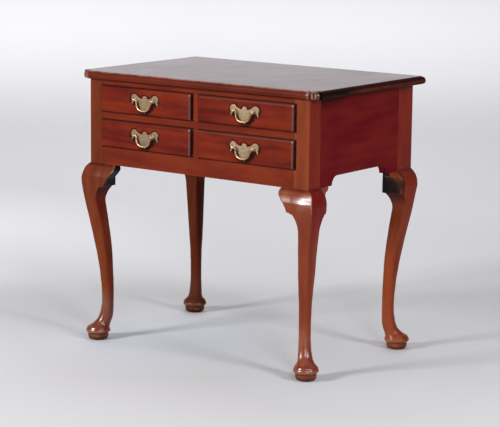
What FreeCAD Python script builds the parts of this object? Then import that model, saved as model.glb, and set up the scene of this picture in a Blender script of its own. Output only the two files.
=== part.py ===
import FreeCAD, Part
import Sketcher
import math
import os
import re

# A four-drawer lowboy: a panelled case tenoned into four cabriole legs, with
# lipped drawers, bail pulls and a notched two-board top.
# X runs to the right along the front, Y runs from front to back, Z is up, and
# the origin is on the floor under the middle of the whole piece.

# ------------------------------------------------------------------ sizes, mm
SIZES = {
    "overall_height": 730,
    "case_width": 708,
    "case_depth": 472,
    "frame_shift": 5,            # the case's middle lies this far behind the origin
    # top
    "top_thickness": 21.5,
    "top_side_overhang": 31,
    "top_front_overhang": 14,
    "top_rear_overhang": 13,
    "top_front_board": 262,
    "top_edge_moulding": 8,
    "top_lower_round": 3,
    "notch_size": 26,
    "notch_step": 5,
    # posts, legs and feet
    "post_width": 45.5,
    "front_post_depth": 48,
    "leg_blank": 67,
    "foot_inset_side": 10.6,
    "foot_inset_front": 16,
    "knee_corner": 2.5,
    "cusp_drop": 62,             # from the case's underside to the leg's inner cusp
    "cusp_ledge": 5,
    "cusp_corner": 3.5,
    "ankle_radius": 14.7,
    "ankle_shift": 17.2,
    "foot_radius": 32.8,
    "foot_disc_radius": 28.4,
    "foot_flat_radius": 20,
    "foot_groove_radius": 27,
    "foot_groove_height": 18.5,
    "foot_groove_width": 3,
    "foot_rim_height": 28,
    "foot_rim_width": 4,
    # knee blocks
    "knee_block_length": 41,
    "knee_block_depth": 22,
    # front frame
    "top_rail_height": 17.5,
    "upper_opening": 62.5,
    "middle_rail_height": 27,
    "lower_opening": 66,
    "bottom_rail_height": 51.5,
    "rail_depth": 60,
    "apron_thickness": 22,
    "divider_width": 28.5,
    "divider_tenon": 8,
    "rail_tenon_length": 22,
    "rail_tenon_shoulder": 3,
    "panel_tenon_length": 18,
    "panel_tenon_thickness": 9,
    "panel_tenon_height": 68,
    "panel_tenon_drop": 24,
    # sides and back
    "side_thickness": 22,
    "arch_rise": 23.5,
    "arch_shoulder": 53.5,
    "back_thickness": 20,
    "back_recess": 2,
    "back_rise": 14,
    # drawer supports
    "runner_thickness": 20,
    "runner_width": 23.5,
    "runner_tongue": 5,
    "runner_tongue_thickness": 8,
    "guide_height": 10,
    "screw_shank": 2.2,
    "screw_head": 4.4,
    "screw_head_height": 3,
    "screw_reach": 13,
    # drawers
    "drawer_back_gap": 20,
    "drawer_side_gap": 1,
    "drawer_top_gap": 1.5,
    "front_inset": 14,
    "lip_proud": 8,
    "lip_overlap": 3,
    "lip_round": 6,
    "drawer_side_thickness": 11,
    "drawer_back_thickness": 11,
    "drawer_bottom_thickness": 7,
    "bottom_rise": 8,
    "groove_depth": 5,
    "tail_length": 10,
    "tail_flare": 2,
    "tail_share": 0.62,          # of each tail's pitch that its wide end takes
    "tail_count": 3,
    # pulls
    "pull_height": 37.3,         # the bolts' line above the opening's floor
    "bolt_spacing": 60,
    "plate_width": 90,
    "plate_rise": 14.5,
    "plate_fall": 35.5,
    "plate_thickness": 1.6,
    "bolt_shank_radius": 2.2,
    "bolt_collar_radius": 5,
    "bolt_collar_height": 1.2,
    "bolt_neck_radius": 2.9,
    "bolt_head_radius": 4.4,
    "bolt_head_reach": 6.6,      # from the plate to the middle of the head
    "nut_width": 11,
    "nut_thickness": 3.2,
    "bail_radius": 2.1,
    "bail_pin_radius": 1.4,
    "bail_pin_clearance": 0.06,
    "bail_pin_reach": 3.5,       # past the middle of the bolt's head
    "bail_end_gap": 0.2,
    "bail_drop": 27,
    "bail_bend": 15,
    "bail_shoulder": 3,
}

# Sizes that follow from the ones above.
DERIVED = {
    "top_underside": "overall_height - top_thickness",
    "case_bottom": "top_underside - top_rail_height - upper_opening"
                   " - middle_rail_height - lower_opening - bottom_rail_height",
    "lower_floor": "case_bottom + bottom_rail_height",
    "middle_rail_bottom": "lower_floor + lower_opening",
    "upper_floor": "middle_rail_bottom + middle_rail_height",
    "top_rail_bottom": "upper_floor + upper_opening",
    "case_height": "top_underside - case_bottom",
    "side_plane": "case_width / 2",
    "front_plane": "frame_shift - case_depth / 2",
    "back_plane": "frame_shift + case_depth / 2",
    "post_inner": "side_plane - post_width",
    "front_post_back": "front_plane + front_post_depth",
    "rear_post_front": "back_plane - leg_blank",
    "back_inner": "back_plane - back_recess - back_thickness",
    "side_inner": "side_plane - side_thickness",
    "rail_back": "front_plane + rail_depth",
    "apron_back": "front_plane + apron_thickness",
    "divider_half": "divider_width / 2",
    "opening_width": "post_inner - divider_half",
    "runner_inner": "post_inner - runner_width",
    "centre_runner_half": "divider_half + runner_width",
    "top_half": "side_plane + top_side_overhang",
    "top_front": "front_plane - top_front_overhang",
    "top_back": "back_plane + top_rear_overhang",
    "leg_x": "side_plane - foot_inset_side",
    "front_leg_y": "front_plane + foot_inset_front",
    "rear_leg_y": "back_plane - leg_blank / 2",
    "drawer_outer": "post_inner - drawer_side_gap",
    "drawer_inner": "divider_half + drawer_side_gap",
    "drawer_back": "back_inner - drawer_back_gap",
    "drawer_middle": "(post_inner + divider_half) / 2",
    "front_face": "front_plane - lip_proud",
    "front_inside": "front_plane + front_inset",
    "plate_face": "front_face - plate_thickness",
    "bail_plane": "plate_face - bolt_head_reach",
    "bail_half_width": "bolt_spacing / 2 - bolt_head_radius - bail_end_gap"
                       " - bail_shoulder",
}

doc = FreeCAD.newDocument("lowboy")
sheet = doc.addObject("Spreadsheet::Sheet", "Sizes")
NODES = []


def fill_sheet():
    """One row for each size: its name, its value and, as alias, its name again."""
    row = 0
    for alias, content in list(SIZES.items()) + list(DERIVED.items()):
        row += 1
        sheet.set("A%d" % row, alias)
        sheet.set("B%d" % row, str(content) if alias in SIZES else "=" + content)
        sheet.setAlias("B%d" % row, alias)
    doc.recompute()


def linked(formula):
    """The formula with every size named in it pointed at its cell."""
    def cell(match):
        word = match.group(0)
        return "Sizes." + word if word in SIZES or word in DERIVED else word
    return re.sub(r"[a-z_]+", cell, str(formula))


def value(formula):
    """The number that a formula in the sheet's names comes to."""
    return float(sheet.evalExpression(linked(formula)))


# ------------------------------------------------------------ building helpers
def place(piece, x, y, z):
    piece.setExpression(".Placement.Base.x", linked(x))
    piece.setExpression(".Placement.Base.y", linked(y))
    piece.setExpression(".Placement.Base.z", linked(z))


def box(name, x, y, z, length, width, height):
    """A block from its lowest corner and its three sizes, all as formulas."""
    block = doc.addObject("Part::Box", name)
    block.setExpression("Length", linked(length))
    block.setExpression("Width", linked(width))
    block.setExpression("Height", linked(height))
    place(block, x, y, z)
    return block


def cylinder(name, x, y, z, radius, height, axis="Z"):
    """A round bar that starts at a point and runs along +X, +Y or +Z."""
    bar = doc.addObject("Part::Cylinder", name)
    bar.setExpression("Radius", linked(radius))
    bar.setExpression("Height", linked(height))
    turn = {"X": ((0, 1, 0), 90), "Y": ((1, 0, 0), -90), "Z": ((0, 0, 1), 0)}[axis]
    bar.Placement = FreeCAD.Placement(
        FreeCAD.Vector(), FreeCAD.Rotation(FreeCAD.Vector(*turn[0]), turn[1]))
    place(bar, x, y, z)
    return bar


def fuse(name, pieces):
    joined = doc.addObject("Part::MultiFuse", name)
    joined.Shapes = pieces
    return joined


def cut(name, base, tools):
    """The base with each tool taken out of it."""
    tool = tools[0] if len(tools) == 1 else fuse(name + "_tools", tools)
    left = doc.addObject("Part::Cut", name)
    left.Base = base
    left.Tool = tool
    return left


def compound(name, pieces):
    group = doc.addObject("Part::Compound", name)
    group.Links = pieces
    return group


def feature(name, shape):
    """A piece whose shape is worked out with Part's own functions."""
    piece = doc.addObject("Part::Feature", name)
    piece.Shape = shape
    return piece


def node(label, piece):
    """Name a finished piece. The name is also that of its file."""
    piece.Label = label
    NODES.append(piece)
    return piece


def mirrored(side, start, length):
    """The low end of a span on the right, or of its mirror image on the left."""
    return start if side > 0 else "-(%s) - (%s)" % (start, length)


def side_name(side):
    return "right" if side > 0 else "left"


def point(x, y, z):
    return FreeCAD.Vector(x, y, z)


def arc(start, middle, end):
    return Part.Arc(start, middle, end).toShape()


def prism(points, direction):
    return Part.Face(Part.makePolygon(points + points[:1])).extrude(direction)


def curve(points):
    """A smooth edge through a few points."""
    spline = Part.BSplineCurve()
    spline.interpolate(points)
    return spline.toShape()


# ------------------------------------------------------------------ front frame
def dividers():
    """Short uprights between the left and the right drawers, tenoned both ends."""
    made = {}
    for level, floor, opening in (("upper", "upper_floor", "upper_opening"),
                                  ("lower", "lower_floor", "lower_opening")):
        upright = box("divider_%s_board" % level, "-divider_half", "front_plane", floor,
                      "divider_width", "apron_thickness", opening)
        tenon = box("divider_%s_tenon" % level, "-divider_half / 2",
                    "front_plane + apron_thickness / 4", floor + " - divider_tenon",
                    "divider_half", "apron_thickness / 2",
                    opening + " + 2 * divider_tenon")
        made[level] = node("divider_" + level,
                           fuse("divider_%s_whole" % level, [upright, tenon]))
    return made


def rail(name, bottom, height, depth):
    """A front rail between the posts, with a tenon into each post."""
    board = box(name + "_board", "-post_inner", "front_plane", bottom,
                "2 * post_inner", depth, height)
    tenon_depth = "min(%s; front_post_depth) / 2" % depth
    tenon = box(name + "_tenon", "-post_inner - rail_tenon_length",
                "front_plane + min(%s; front_post_depth) / 4" % depth,
                bottom + " + rail_tenon_shoulder",
                "2 * post_inner + 2 * rail_tenon_length", tenon_depth,
                height + " - 2 * rail_tenon_shoulder")
    return fuse(name + "_blank", [board, tenon])


def runner(level, side, floor, front):
    """A strip that carries a drawer's edges, with the guide that steers them."""
    name = "runner_%s_%s" % (level, {1: "right", -1: "left", 0: "centre"}[side])
    low = floor + " - runner_thickness"
    tongue_low = floor + " - (runner_thickness + runner_tongue_thickness) / 2"
    if side:
        span = ("runner_inner", "runner_width")
        guide = ("post_inner", "side_inner - post_inner")
        guide_end = "rear_post_front"
    else:
        span = ("-centre_runner_half", "2 * centre_runner_half")
        guide = ("-divider_half", "divider_width")
        guide_end = "back_inner"
    mirror = mirrored if side else (lambda _, start, length: start)
    guide_front = "front_post_back" if side else front
    strip = box(name + "_strip", mirror(side, *span), front, low,
                span[1], "back_inner - (%s)" % front, "runner_thickness")
    tongue = box(name + "_tongue", mirror(side, *span), front + " - runner_tongue",
                 tongue_low, span[1], "2 * runner_tongue", "runner_tongue_thickness")
    steer = box(name + "_guide", mirror(side, *guide), guide_front, low,
                guide[1], "%s - (%s)" % (guide_end, guide_front),
                "runner_thickness + guide_height")
    return node(name, fuse(name + "_whole", [strip, tongue, steer]))


def front_frame():
    """The rails, the dividers between them and the runners behind them."""
    upright = dividers()
    runners = {}
    for level, floor, front in (("upper", "upper_floor", "rail_back"),
                                ("lower", "lower_floor", "apron_back")):
        runners[level] = [runner(level, side, floor, front) for side in (-1, 0, 1)]
    top = cut("top_rail_cut",
              rail("top_rail", "top_rail_bottom", "top_rail_height", "rail_depth"),
              [upright["upper"]])
    middle = cut("middle_rail_cut",
                 rail("middle_rail", "middle_rail_bottom", "middle_rail_height",
                      "rail_depth"),
                 [upright["upper"], upright["lower"]] + runners["upper"])
    bottom = cut("bottom_rail_cut",
                 rail("bottom_rail", "case_bottom", "bottom_rail_height",
                      "apron_thickness"),
                 [upright["lower"]] + runners["lower"])
    return [node("top_rail", top), node("middle_rail", middle),
            node("bottom_rail", bottom)]


# ---------------------------------------------------------------- sides and back
def panel_tenons(name, x, y, length, width):
    """Two tenons, one above the other, that run right through a panel's ends."""
    upper = box(name + "_tenon_upper", x, y,
                "top_underside - panel_tenon_drop - panel_tenon_height",
                length, width, "panel_tenon_height")
    lower = box(name + "_tenon_lower", x, y, "case_bottom + 2 * panel_tenon_drop",
                length, width, "panel_tenon_height")
    return [upper, lower]


def side_panel(side):
    """A side board with an arched lower edge, tenoned into its two posts."""
    name = "side_panel_" + side_name(side)
    board = box(name + "_board", mirrored(side, "side_inner", "side_thickness"),
                "front_post_back", "case_bottom", "side_thickness",
                "rear_post_front - front_post_back", "case_height")
    inset = "side_inner + (side_thickness - panel_tenon_thickness) / 2"
    tenons = panel_tenons(name, mirrored(side, inset, "panel_tenon_thickness"),
                          "front_post_back - panel_tenon_length",
                          "panel_tenon_thickness",
                          "rear_post_front - front_post_back + 2 * panel_tenon_length")
    through = mirrored(side, "side_inner - side_thickness", "3 * side_thickness")
    springing = "arch_shoulder + arch_rise"
    flat = box(name + "_arch_flat", through, "front_post_back + " + springing,
               "case_bottom - arch_rise", "3 * side_thickness",
               "rear_post_front - front_post_back - 2 * (%s)" % springing,
               "2 * arch_rise")
    front_curve = cylinder(name + "_arch_front", through,
                           "front_post_back + " + springing, "case_bottom",
                           "arch_rise", "3 * side_thickness", "X")
    rear_curve = cylinder(name + "_arch_rear", through,
                          "rear_post_front - (%s)" % springing, "case_bottom",
                          "arch_rise", "3 * side_thickness", "X")
    blank = fuse(name + "_blank", [board] + tenons)
    return node(name, cut(name + "_cut", blank, [flat, front_curve, rear_curve]))


def back_panel():
    """The back board, set in a little and tenoned into the rear posts."""
    board = box("back_board", "-post_inner", "back_inner", "case_bottom + back_rise",
                "2 * post_inner", "back_thickness", "case_height - back_rise")
    tenons = panel_tenons("back", "-post_inner - panel_tenon_length",
                          "back_inner + (back_thickness - panel_tenon_thickness) / 2",
                          "2 * post_inner + 2 * panel_tenon_length",
                          "panel_tenon_thickness")
    return node("back_panel", fuse("back_panel_whole", [board] + tenons))


# ---------------------------------------------------------------- top and kickers
def screw(name, x, y):
    """A wood screw with a flush head, driven up through a kicker into the top."""
    shank = cylinder(name + "_shank", x, y, "top_rail_bottom", "screw_shank",
                     "top_rail_height + screw_reach")
    head = doc.addObject("Part::Cone", name + "_head")
    head.setExpression("Radius1", linked("screw_head"))
    head.setExpression("Radius2", linked("screw_shank"))
    head.setExpression("Height", linked("screw_head_height"))
    place(head, x, y, "top_rail_bottom")
    return fuse(name, [shank, head])


def top_and_kickers():
    """The two top boards, the kickers that stop the drawers tipping, the screws."""
    near = "top_front + top_front_board / 2"
    far = "top_back - (top_back - top_front - top_front_board) / 2"
    screws = []
    for side in (-1, 0, 1):
        for place_name, y in (("near", near), ("far", far)):
            x = "%d * (runner_inner + side_inner) / 2" % side
            screws.append(screw("screw_%s_%d" % (place_name, side + 1), x, y))
    group = node("top_screws", compound("top_screws_group", screws))
    kickers = []
    for side in (-1, 1):
        kickers.append(box("kicker_" + side_name(side),
                           mirrored(side, "runner_inner", "side_inner - runner_inner"),
                           "rail_back", "top_rail_bottom", "side_inner - runner_inner",
                           "rear_post_front - rail_back", "top_rail_height"))
    kickers.append(box("kicker_centre", "-centre_runner_half", "rail_back",
                       "top_rail_bottom", "2 * centre_runner_half",
                       "back_inner - rail_back", "top_rail_height"))
    blanks = compound("kicker_blanks", kickers)
    node("kickers", cut("kickers_cut", blanks, [group]))
    node("top_board_front", cut("top_front_cut", moulded(front_top_blank()), [group]))
    node("top_board_rear", cut("top_rear_cut", moulded(rear_top_blank()), [group]))


def front_top_blank():
    """The front board, its outer corners notched round a quarter-round cusp."""
    board = box("top_front_board_box", "-top_half", "top_front", "top_underside",
                "2 * top_half", "top_front_board", "top_thickness")
    notches = []
    for side in (-1, 1):
        name = "notch_" + side_name(side)
        square = box(name + "_square", mirrored(side, "top_half - notch_size", "notch_size"),
                     "top_front", "top_underside", "notch_size", "notch_size",
                     "top_thickness")
        cusp = cylinder(name + "_cusp", "%d * (top_half - notch_size)" % side,
                        "top_front + notch_size", "top_underside",
                        "notch_size - notch_step", "top_thickness")
        notches.append(cut(name, square, [cusp]))
    return cut("top_front_blank", board, notches)


def rear_top_blank():
    """The rear board, glued along its front edge to the front board."""
    return box("top_rear_board_box", "-top_half", "top_front + top_front_board",
               "top_underside", "2 * top_half",
               "top_back - top_front - top_front_board", "top_thickness")


def moulded(blank):
    """A top board with its outer edges rounded, wide above and narrow below."""
    doc.recompute()
    joint = value("top_front + top_front_board")
    upper = value("overall_height")
    lower = value("top_underside")
    rounds = []
    for number, edge in enumerate(blank.Shape.Edges, 1):
        bounds = edge.BoundBox
        straight = edge.Length > value("notch_size") * 2
        at_joint = abs(bounds.YMin - joint) < 0.01 and abs(bounds.YMax - joint) < 0.01
        if not straight or at_joint or bounds.ZLength > 0.01:
            continue
        if abs(bounds.ZMax - upper) < 0.01:
            rounds.append((number, value("top_edge_moulding"), value("top_edge_moulding")))
        elif abs(bounds.ZMax - lower) < 0.01:
            rounds.append((number, value("top_lower_round"), value("top_lower_round")))
    soft = doc.addObject("Part::Fillet", blank.Name + "_moulded")
    soft.Base = blank
    soft.Edges = rounds
    return soft


# ------------------------------------------------------------------------- legs
# Each station of the shaft: its share of the cusp's height, how far its middle lies
# in from the foot's along X and along Y and half its width, as shares of the blank's
# width, and its corner radius in mm.
SHAFT_STATIONS = (
    (0.95, -0.066, 0.357, 5),
    (0.91, -0.084, 0.306, 5),
    (0.853, -0.034, 0.293, 6),
    (0.77, 0.046, 0.282, 6),
    (0.647, 0.125, 0.26, 7),
    (0.538, 0.193, 0.233, 8),
    (0.431, 0.234, 0.212, 9),
)
# Each station of the knee's top: its share of the way down to the cusp, and how much
# of the knee's full projection it has.
KNEE_STATIONS = ((0, 0.09), (0.17, 0.62), (0.31, 0.84), (0.44, 0.94), (0.6, 1), (1, 0.9))
# The ankle's height as a share of the cusp's.
ANKLE_HEIGHT_SHARE = 0.313
# Each station between the foot's rim and the ankle: its share of the way up, its
# share of the ankle's shift, and its radius as a share of the way to the rim's.
FLARE_STATIONS = ((0.7, 0.975, 0.02), (0.46, 0.85, 0.145), (0.29, 0.575, 0.345),
                  (0.13, 0.16, 0.69))
# The most of a section's width that the radius of a corner may take.
LARGEST_CORNER_SHARE = 0.485


def rounded_square(low, high, corner, z):
    """A closed wire round a rectangle with round corners, at one height."""
    (x0, y0), (x1, y1) = low, high
    radius = min(corner, LARGEST_CORNER_SHARE * (x1 - x0), LARGEST_CORNER_SHARE * (y1 - y0))
    bow = radius * (1 - math.sqrt(0.5))
    edges = []
    corners = ((x1, y0, -1, 1), (x1, y1, -1, -1), (x0, y1, 1, -1), (x0, y0, 1, 1))
    ends = []
    for index, (x, y, inx, iny) in enumerate(corners):
        along_x = point(x + inx * radius, y, z)
        along_y = point(x, y + iny * radius, z)
        first, last = (along_x, along_y) if index % 2 == 0 else (along_y, along_x)
        ends.append((first, point(x + inx * bow, y + iny * bow, z), last))
    for index, (first, middle, last) in enumerate(ends):
        edges.append(arc(first, middle, last))
        edges.append(Part.makeLine(last, ends[(index + 1) % 4][0]))
    return Part.Wire(edges)


def leg_section(side, front, out, inward, corner, z):
    """A section of one leg, from how far it reaches out and in along X and Y."""
    x_foot = side * value("leg_x")
    y_foot = value("front_leg_y" if front else "rear_leg_y")
    xs = sorted((x_foot + side * out[0], x_foot - side * inward[0]))
    turn = -1 if front else 1
    ys = sorted((y_foot + turn * out[1], y_foot - turn * inward[1]))
    return rounded_square((xs[0], ys[0]), (xs[1], ys[1]), corner, z)


def leg_insets(front):
    """How far the foot's middle lies in from the case's side and front or back."""
    if front:
        return value("foot_inset_side"), value("foot_inset_front")
    return value("foot_inset_side"), value("leg_blank / 2")


def blank_inner(front):
    """How far the square top of the leg reaches inwards from the foot's middle."""
    depth = value("front_post_depth" if front else "leg_blank")
    inset_x, inset_y = leg_insets(front)
    return value("post_width") - inset_x, depth - inset_y


def knee(side, front):
    """The square top of the leg, whose outer faces swell into the knee."""
    bottom = value("case_bottom")
    reach = value("leg_blank / 2")
    insets = leg_insets(front)
    sections = []
    for drop, share in KNEE_STATIONS:
        out = [inset + share * (reach - inset) for inset in insets]
        if drop == 1:
            out = [reach - value("cusp_ledge") / 2] * 2
        z = bottom - drop * value("cusp_drop")
        sections.append(leg_section(side, front, out, blank_inner(front),
                                    value("knee_corner"), z))
    return Part.makeLoft(sections, True, False)


def shaft(side, front):
    """The S-curved shaft from the cusp down to the ankle and out to the foot's rim."""
    height = value("case_bottom - cusp_drop")
    ankle = value("ankle_radius")
    shift = value("ankle_shift")
    rim = value("foot_radius")
    rim_height = value("foot_rim_height")
    ankle_height = ANKLE_HEIGHT_SHARE * height
    blank = value("leg_blank")
    ledge = value("cusp_ledge")
    out = [(blank - ledge) / 2] * 2
    inward = [reach - ledge for reach in blank_inner(front)]
    sections = [leg_section(side, front, out, inward, value("cusp_corner"), height)]
    for share, middle, half, corner in SHAFT_STATIONS:
        out = [(half - middle) * blank] * 2
        inward = [(half + middle) * blank] * 2
        sections.append(leg_section(side, front, out, inward, corner, share * height))
    sections.append(leg_section(side, front, [ankle - shift] * 2, [ankle + shift] * 2,
                                ankle, ankle_height))
    for share, shift_share, flare in FLARE_STATIONS:
        radius = ankle + flare * (rim - ankle)
        middle = shift * shift_share
        sections.append(leg_section(side, front, [radius - middle] * 2,
                                    [radius + middle] * 2, radius,
                                    rim_height + share * (ankle_height - rim_height)))
    sections.append(leg_section(side, front, [rim] * 2, [rim] * 2, rim, rim_height))
    return Part.makeLoft(sections, True, False)


def foot(side, front):
    """The turned pad under the ankle: a rim, a groove and a lower disc."""
    rim = value("foot_radius")
    disc = value("foot_disc_radius")
    flat = value("foot_flat_radius")
    groove = value("foot_groove_radius")
    middle = value("foot_groove_height")
    half = value("foot_groove_width") / 2
    top = value("foot_rim_height")
    rim_low = top - value("foot_rim_width")
    belly = disc - flat
    edges = [
        Part.makeLine(point(0, 0, 0), point(flat, 0, 0)),
        arc(point(flat, 0, 0),
            point(flat + belly * math.sin(math.pi / 4), 0, belly * (1 - math.sqrt(0.5))),
            point(disc, 0, belly)),
        Part.makeLine(point(disc, 0, belly), point(disc, 0, middle - 2 * half)),
        Part.makeLine(point(disc, 0, middle - 2 * half), point(groove, 0, middle - half)),
        Part.makeLine(point(groove, 0, middle - half), point(groove, 0, middle + half)),
        Part.makeLine(point(groove, 0, middle + half), point(rim, 0, rim_low)),
        Part.makeLine(point(rim, 0, rim_low), point(rim, 0, top)),
        Part.makeLine(point(rim, 0, top), point(0, 0, top)),
        Part.makeLine(point(0, 0, top), point(0, 0, 0)),
    ]
    turned = Part.Face(Part.Wire(edges)).revolve(point(0, 0, 0), point(0, 0, 1), 360)
    turned.translate(point(side * value("leg_x"),
                           value("front_leg_y" if front else "rear_leg_y"), 0))
    return turned


def leg(side, front, tenoned):
    """Post, knee, shaft and foot in one piece, mortised for what it holds."""
    name = "leg_%s_%s" % ("front" if front else "rear", side_name(side))
    post = box(name + "_post", mirrored(side, "post_inner", "post_width"),
               "front_plane" if front else "rear_post_front", "case_bottom",
               "post_width", "front_post_depth" if front else "leg_blank",
               "case_height")
    curved = feature(name + "_curved",
                     knee(side, front).fuse([shaft(side, front), foot(side, front)]))
    blank = fuse(name + "_blank", [post, curved])
    return node(name, cut(name + "_cut", blank, tenoned))


# ------------------------------------------------------------------ knee blocks
# The scrolled end of a block, from the case down to its lowest cusp: shares of the
# block's length and of its drop. The step and the tip below the cusp are straight.
BLOCK_STATIONS = ((1, 0), (0.92, 0.17), (0.77, 0.306), (0.595, 0.435), (0.415, 0.558),
                  (0.335, 0.677), (0.29, 0.79), (0.245, 0.93))
BLOCK_STEP = (0.11, 0.97)
# A side block's face lies nearly flush with the case from here outwards, and still
# keeps this share of the knee's projection.
FLUSH_LENGTH_SHARE = 0.9
FLUSH_REST_SHARE = 0.12


def knee_profile(depth):
    """Points (projection, height) down the knee's outer face, and back behind it."""
    bottom = value("case_bottom")
    drop = value("cusp_drop")
    return [(share * depth, bottom - down * drop) for down, share in KNEE_STATIONS[:-1]]


def block_outline():
    """The outline (length from the post, height) of a block with its scrolled end."""
    bottom = value("case_bottom")
    length = value("knee_block_length")
    drop = value("cusp_drop")
    scroll = [point(across * length, 0, bottom - down * drop)
              for across, down in BLOCK_STATIONS + (BLOCK_STEP,)]
    tip = point(0, 0, bottom - drop)
    edges = [curve(scroll[:-1])]
    edges.append(Part.makeLine(scroll[-2], scroll[-1]))
    edges.append(Part.makeLine(scroll[-1], tip))
    edges.append(Part.makeLine(tip, point(0, 0, bottom)))
    edges.append(Part.makeLine(point(0, 0, bottom), scroll[0]))
    return edges


def turned_to(shape, x, y, toward_x, toward_y):
    """A block drawn along +X with its outer face to -Y, moved to its place."""
    matrix = FreeCAD.Matrix()
    matrix.A11, matrix.A21 = toward_x
    matrix.A12, matrix.A22 = toward_y
    matrix.A14, matrix.A24 = x, y
    return shape.transformGeometry(matrix)


def knee_block(label, corner, along, inward, projection, fade):
    """A block glued to the knee beside a post and under the case."""
    depth = value("knee_block_depth")
    length = value("knee_block_length")
    outline = Part.Face(Part.Wire(block_outline()))
    slab = outline.extrude(point(0, projection + depth, 0))
    slab.translate(point(0, -projection, 0))
    tip = value("case_bottom - cusp_drop")
    outer = [point(-1, -out, z) for out, z in knee_profile(projection)]
    back = [point(-1, -projection, tip), point(-1, depth, tip),
            point(-1, depth, outer[0].z), outer[0]]
    swell = Part.Face(Part.Wire([curve(outer), Part.makePolygon([outer[-1]] + back)]))
    block = slab.common(swell.extrude(point(length + 2, 0, 0)))
    if fade:
        rest = FLUSH_REST_SHARE * projection
        plan = [point(-1, -projection - 1, tip - 1), point(-1, depth + 1, tip - 1),
                point(length + 1, depth + 1, tip - 1), point(length + 1, -rest, tip - 1),
                point(length * FLUSH_LENGTH_SHARE, -rest, tip - 1),
                point(0, -projection - 1, tip - 1)]
        block = block.common(prism(plan, point(0, 0, value("cusp_drop") + 2)))
    placed = turned_to(block, corner[0], corner[1], along, inward)
    return node(label, feature(label + "_block", placed))


def knee_blocks():
    """Six blocks: beside the front of the front knees and along every side knee."""
    side_plane = value("side_plane")
    front_plane = value("front_plane")
    reach = value("leg_blank / 2")
    front_out = reach - value("foot_inset_front")
    side_out = reach - value("foot_inset_side")
    for side in (-1, 1):
        word = side_name(side)
        knee_block("knee_block_front_" + word, (side * value("post_inner"), front_plane),
                   (-side, 0), (0, 1), front_out, False)
        knee_block("knee_block_side_front_" + word,
                   (side * side_plane, value("front_post_back")),
                   (0, 1), (-side, 0), side_out, True)
        knee_block("knee_block_side_rear_" + word,
                   (side * side_plane, value("rear_post_front")),
                   (0, -1), (-side, 0), side_out, True)


# ---------------------------------------------------------------------- drawers
def plane(body, role):
    for item in body.Origin.OriginFeatures:
        if item.Role == role:
            return item
    raise ValueError(role)


def rectangle(body, name, y, x, z, width, height):
    """A constrained rectangle that faces the front, at one depth."""
    sketch = body.newObject("Sketcher::SketchObject", name)
    sketch.AttachmentSupport = (plane(body, "XZ_Plane"), [""])
    sketch.MapMode = "FlatFace"
    sketch.setExpression(".AttachmentOffset.Base.z", linked("-(%s)" % y))
    x0, z0 = value(x), value(z)
    x1, z1 = x0 + value(width), z0 + value(height)
    corners = [point(x0, z0, 0), point(x1, z0, 0), point(x1, z1, 0), point(x0, z1, 0)]
    for index in range(4):
        sketch.addGeometry(Part.LineSegment(corners[index], corners[(index + 1) % 4]))
    for index in range(4):
        sketch.addConstraint(Sketcher.Constraint("Coincident", index, 2,
                                                 (index + 1) % 4, 1))
    for index, kind in enumerate(("Horizontal", "Vertical", "Horizontal", "Vertical")):
        sketch.addConstraint(Sketcher.Constraint(kind, index))
    spans = (("width", "DistanceX", 0, 1, 0, 2, width),
             ("height", "DistanceY", 1, 1, 1, 2, height))
    for word, kind, first, start, second, end, formula in spans:
        number = sketch.addConstraint(
            Sketcher.Constraint(kind, first, start, second, end, value(formula)))
        sketch.renameConstraint(number, word)
        sketch.setExpression(".Constraints." + word, linked(formula))
    for word, kind, formula in (("across", "DistanceX", x), ("up", "DistanceY", z)):
        number = sketch.addConstraint(
            Sketcher.Constraint(kind, -1, 1, 0, 1, value(formula)))
        sketch.renameConstraint(number, word)
        sketch.setExpression(".Constraints." + word, linked(formula))
    return sketch


def pad(body, name, sketch, length, backwards):
    raised = body.newObject("PartDesign::Pad", name)
    raised.Profile = sketch
    raised.setExpression("Length", linked(length))
    raised.Reversed = backwards
    return raised


def drawer_front_blank(name, side, floor, opening):
    """A front whose lip covers the gap all round and has a thumb-moulded edge."""
    body = doc.addObject("PartDesign::Body", name + "_front_body")
    lip_low = floor + " - lip_overlap"
    lip_height = opening + " + 2 * lip_overlap"
    lip_width = "opening_width + 2 * lip_overlap"
    lip_x = mirrored(side, "divider_half - lip_overlap", lip_width)
    lip = pad(body, name + "_lip",
              rectangle(body, name + "_lip_outline", "front_plane", lip_x, lip_low,
                        lip_width, lip_height), "lip_proud", False)
    inner_width = "drawer_outer - drawer_inner"
    pad(body, name + "_inset",
        rectangle(body, name + "_inset_outline", "front_plane",
                  mirrored(side, "drawer_inner", inner_width), floor,
                  inner_width, opening + " - drawer_top_gap"), "front_inset", True)
    doc.recompute()
    face_y = value("front_face")
    edges = []
    for number, edge in enumerate(body.Tip.Shape.Edges, 1):
        bounds = edge.BoundBox
        if abs(bounds.YMin - face_y) < 0.01 and abs(bounds.YMax - face_y) < 0.01:
            edges.append("Edge%d" % number)
    thumb = body.newObject("PartDesign::Fillet", name + "_thumb_mould")
    thumb.Base = (body.getObject(name + "_inset"), edges)
    thumb.setExpression("Radius", linked("lip_round"))
    return body


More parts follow.
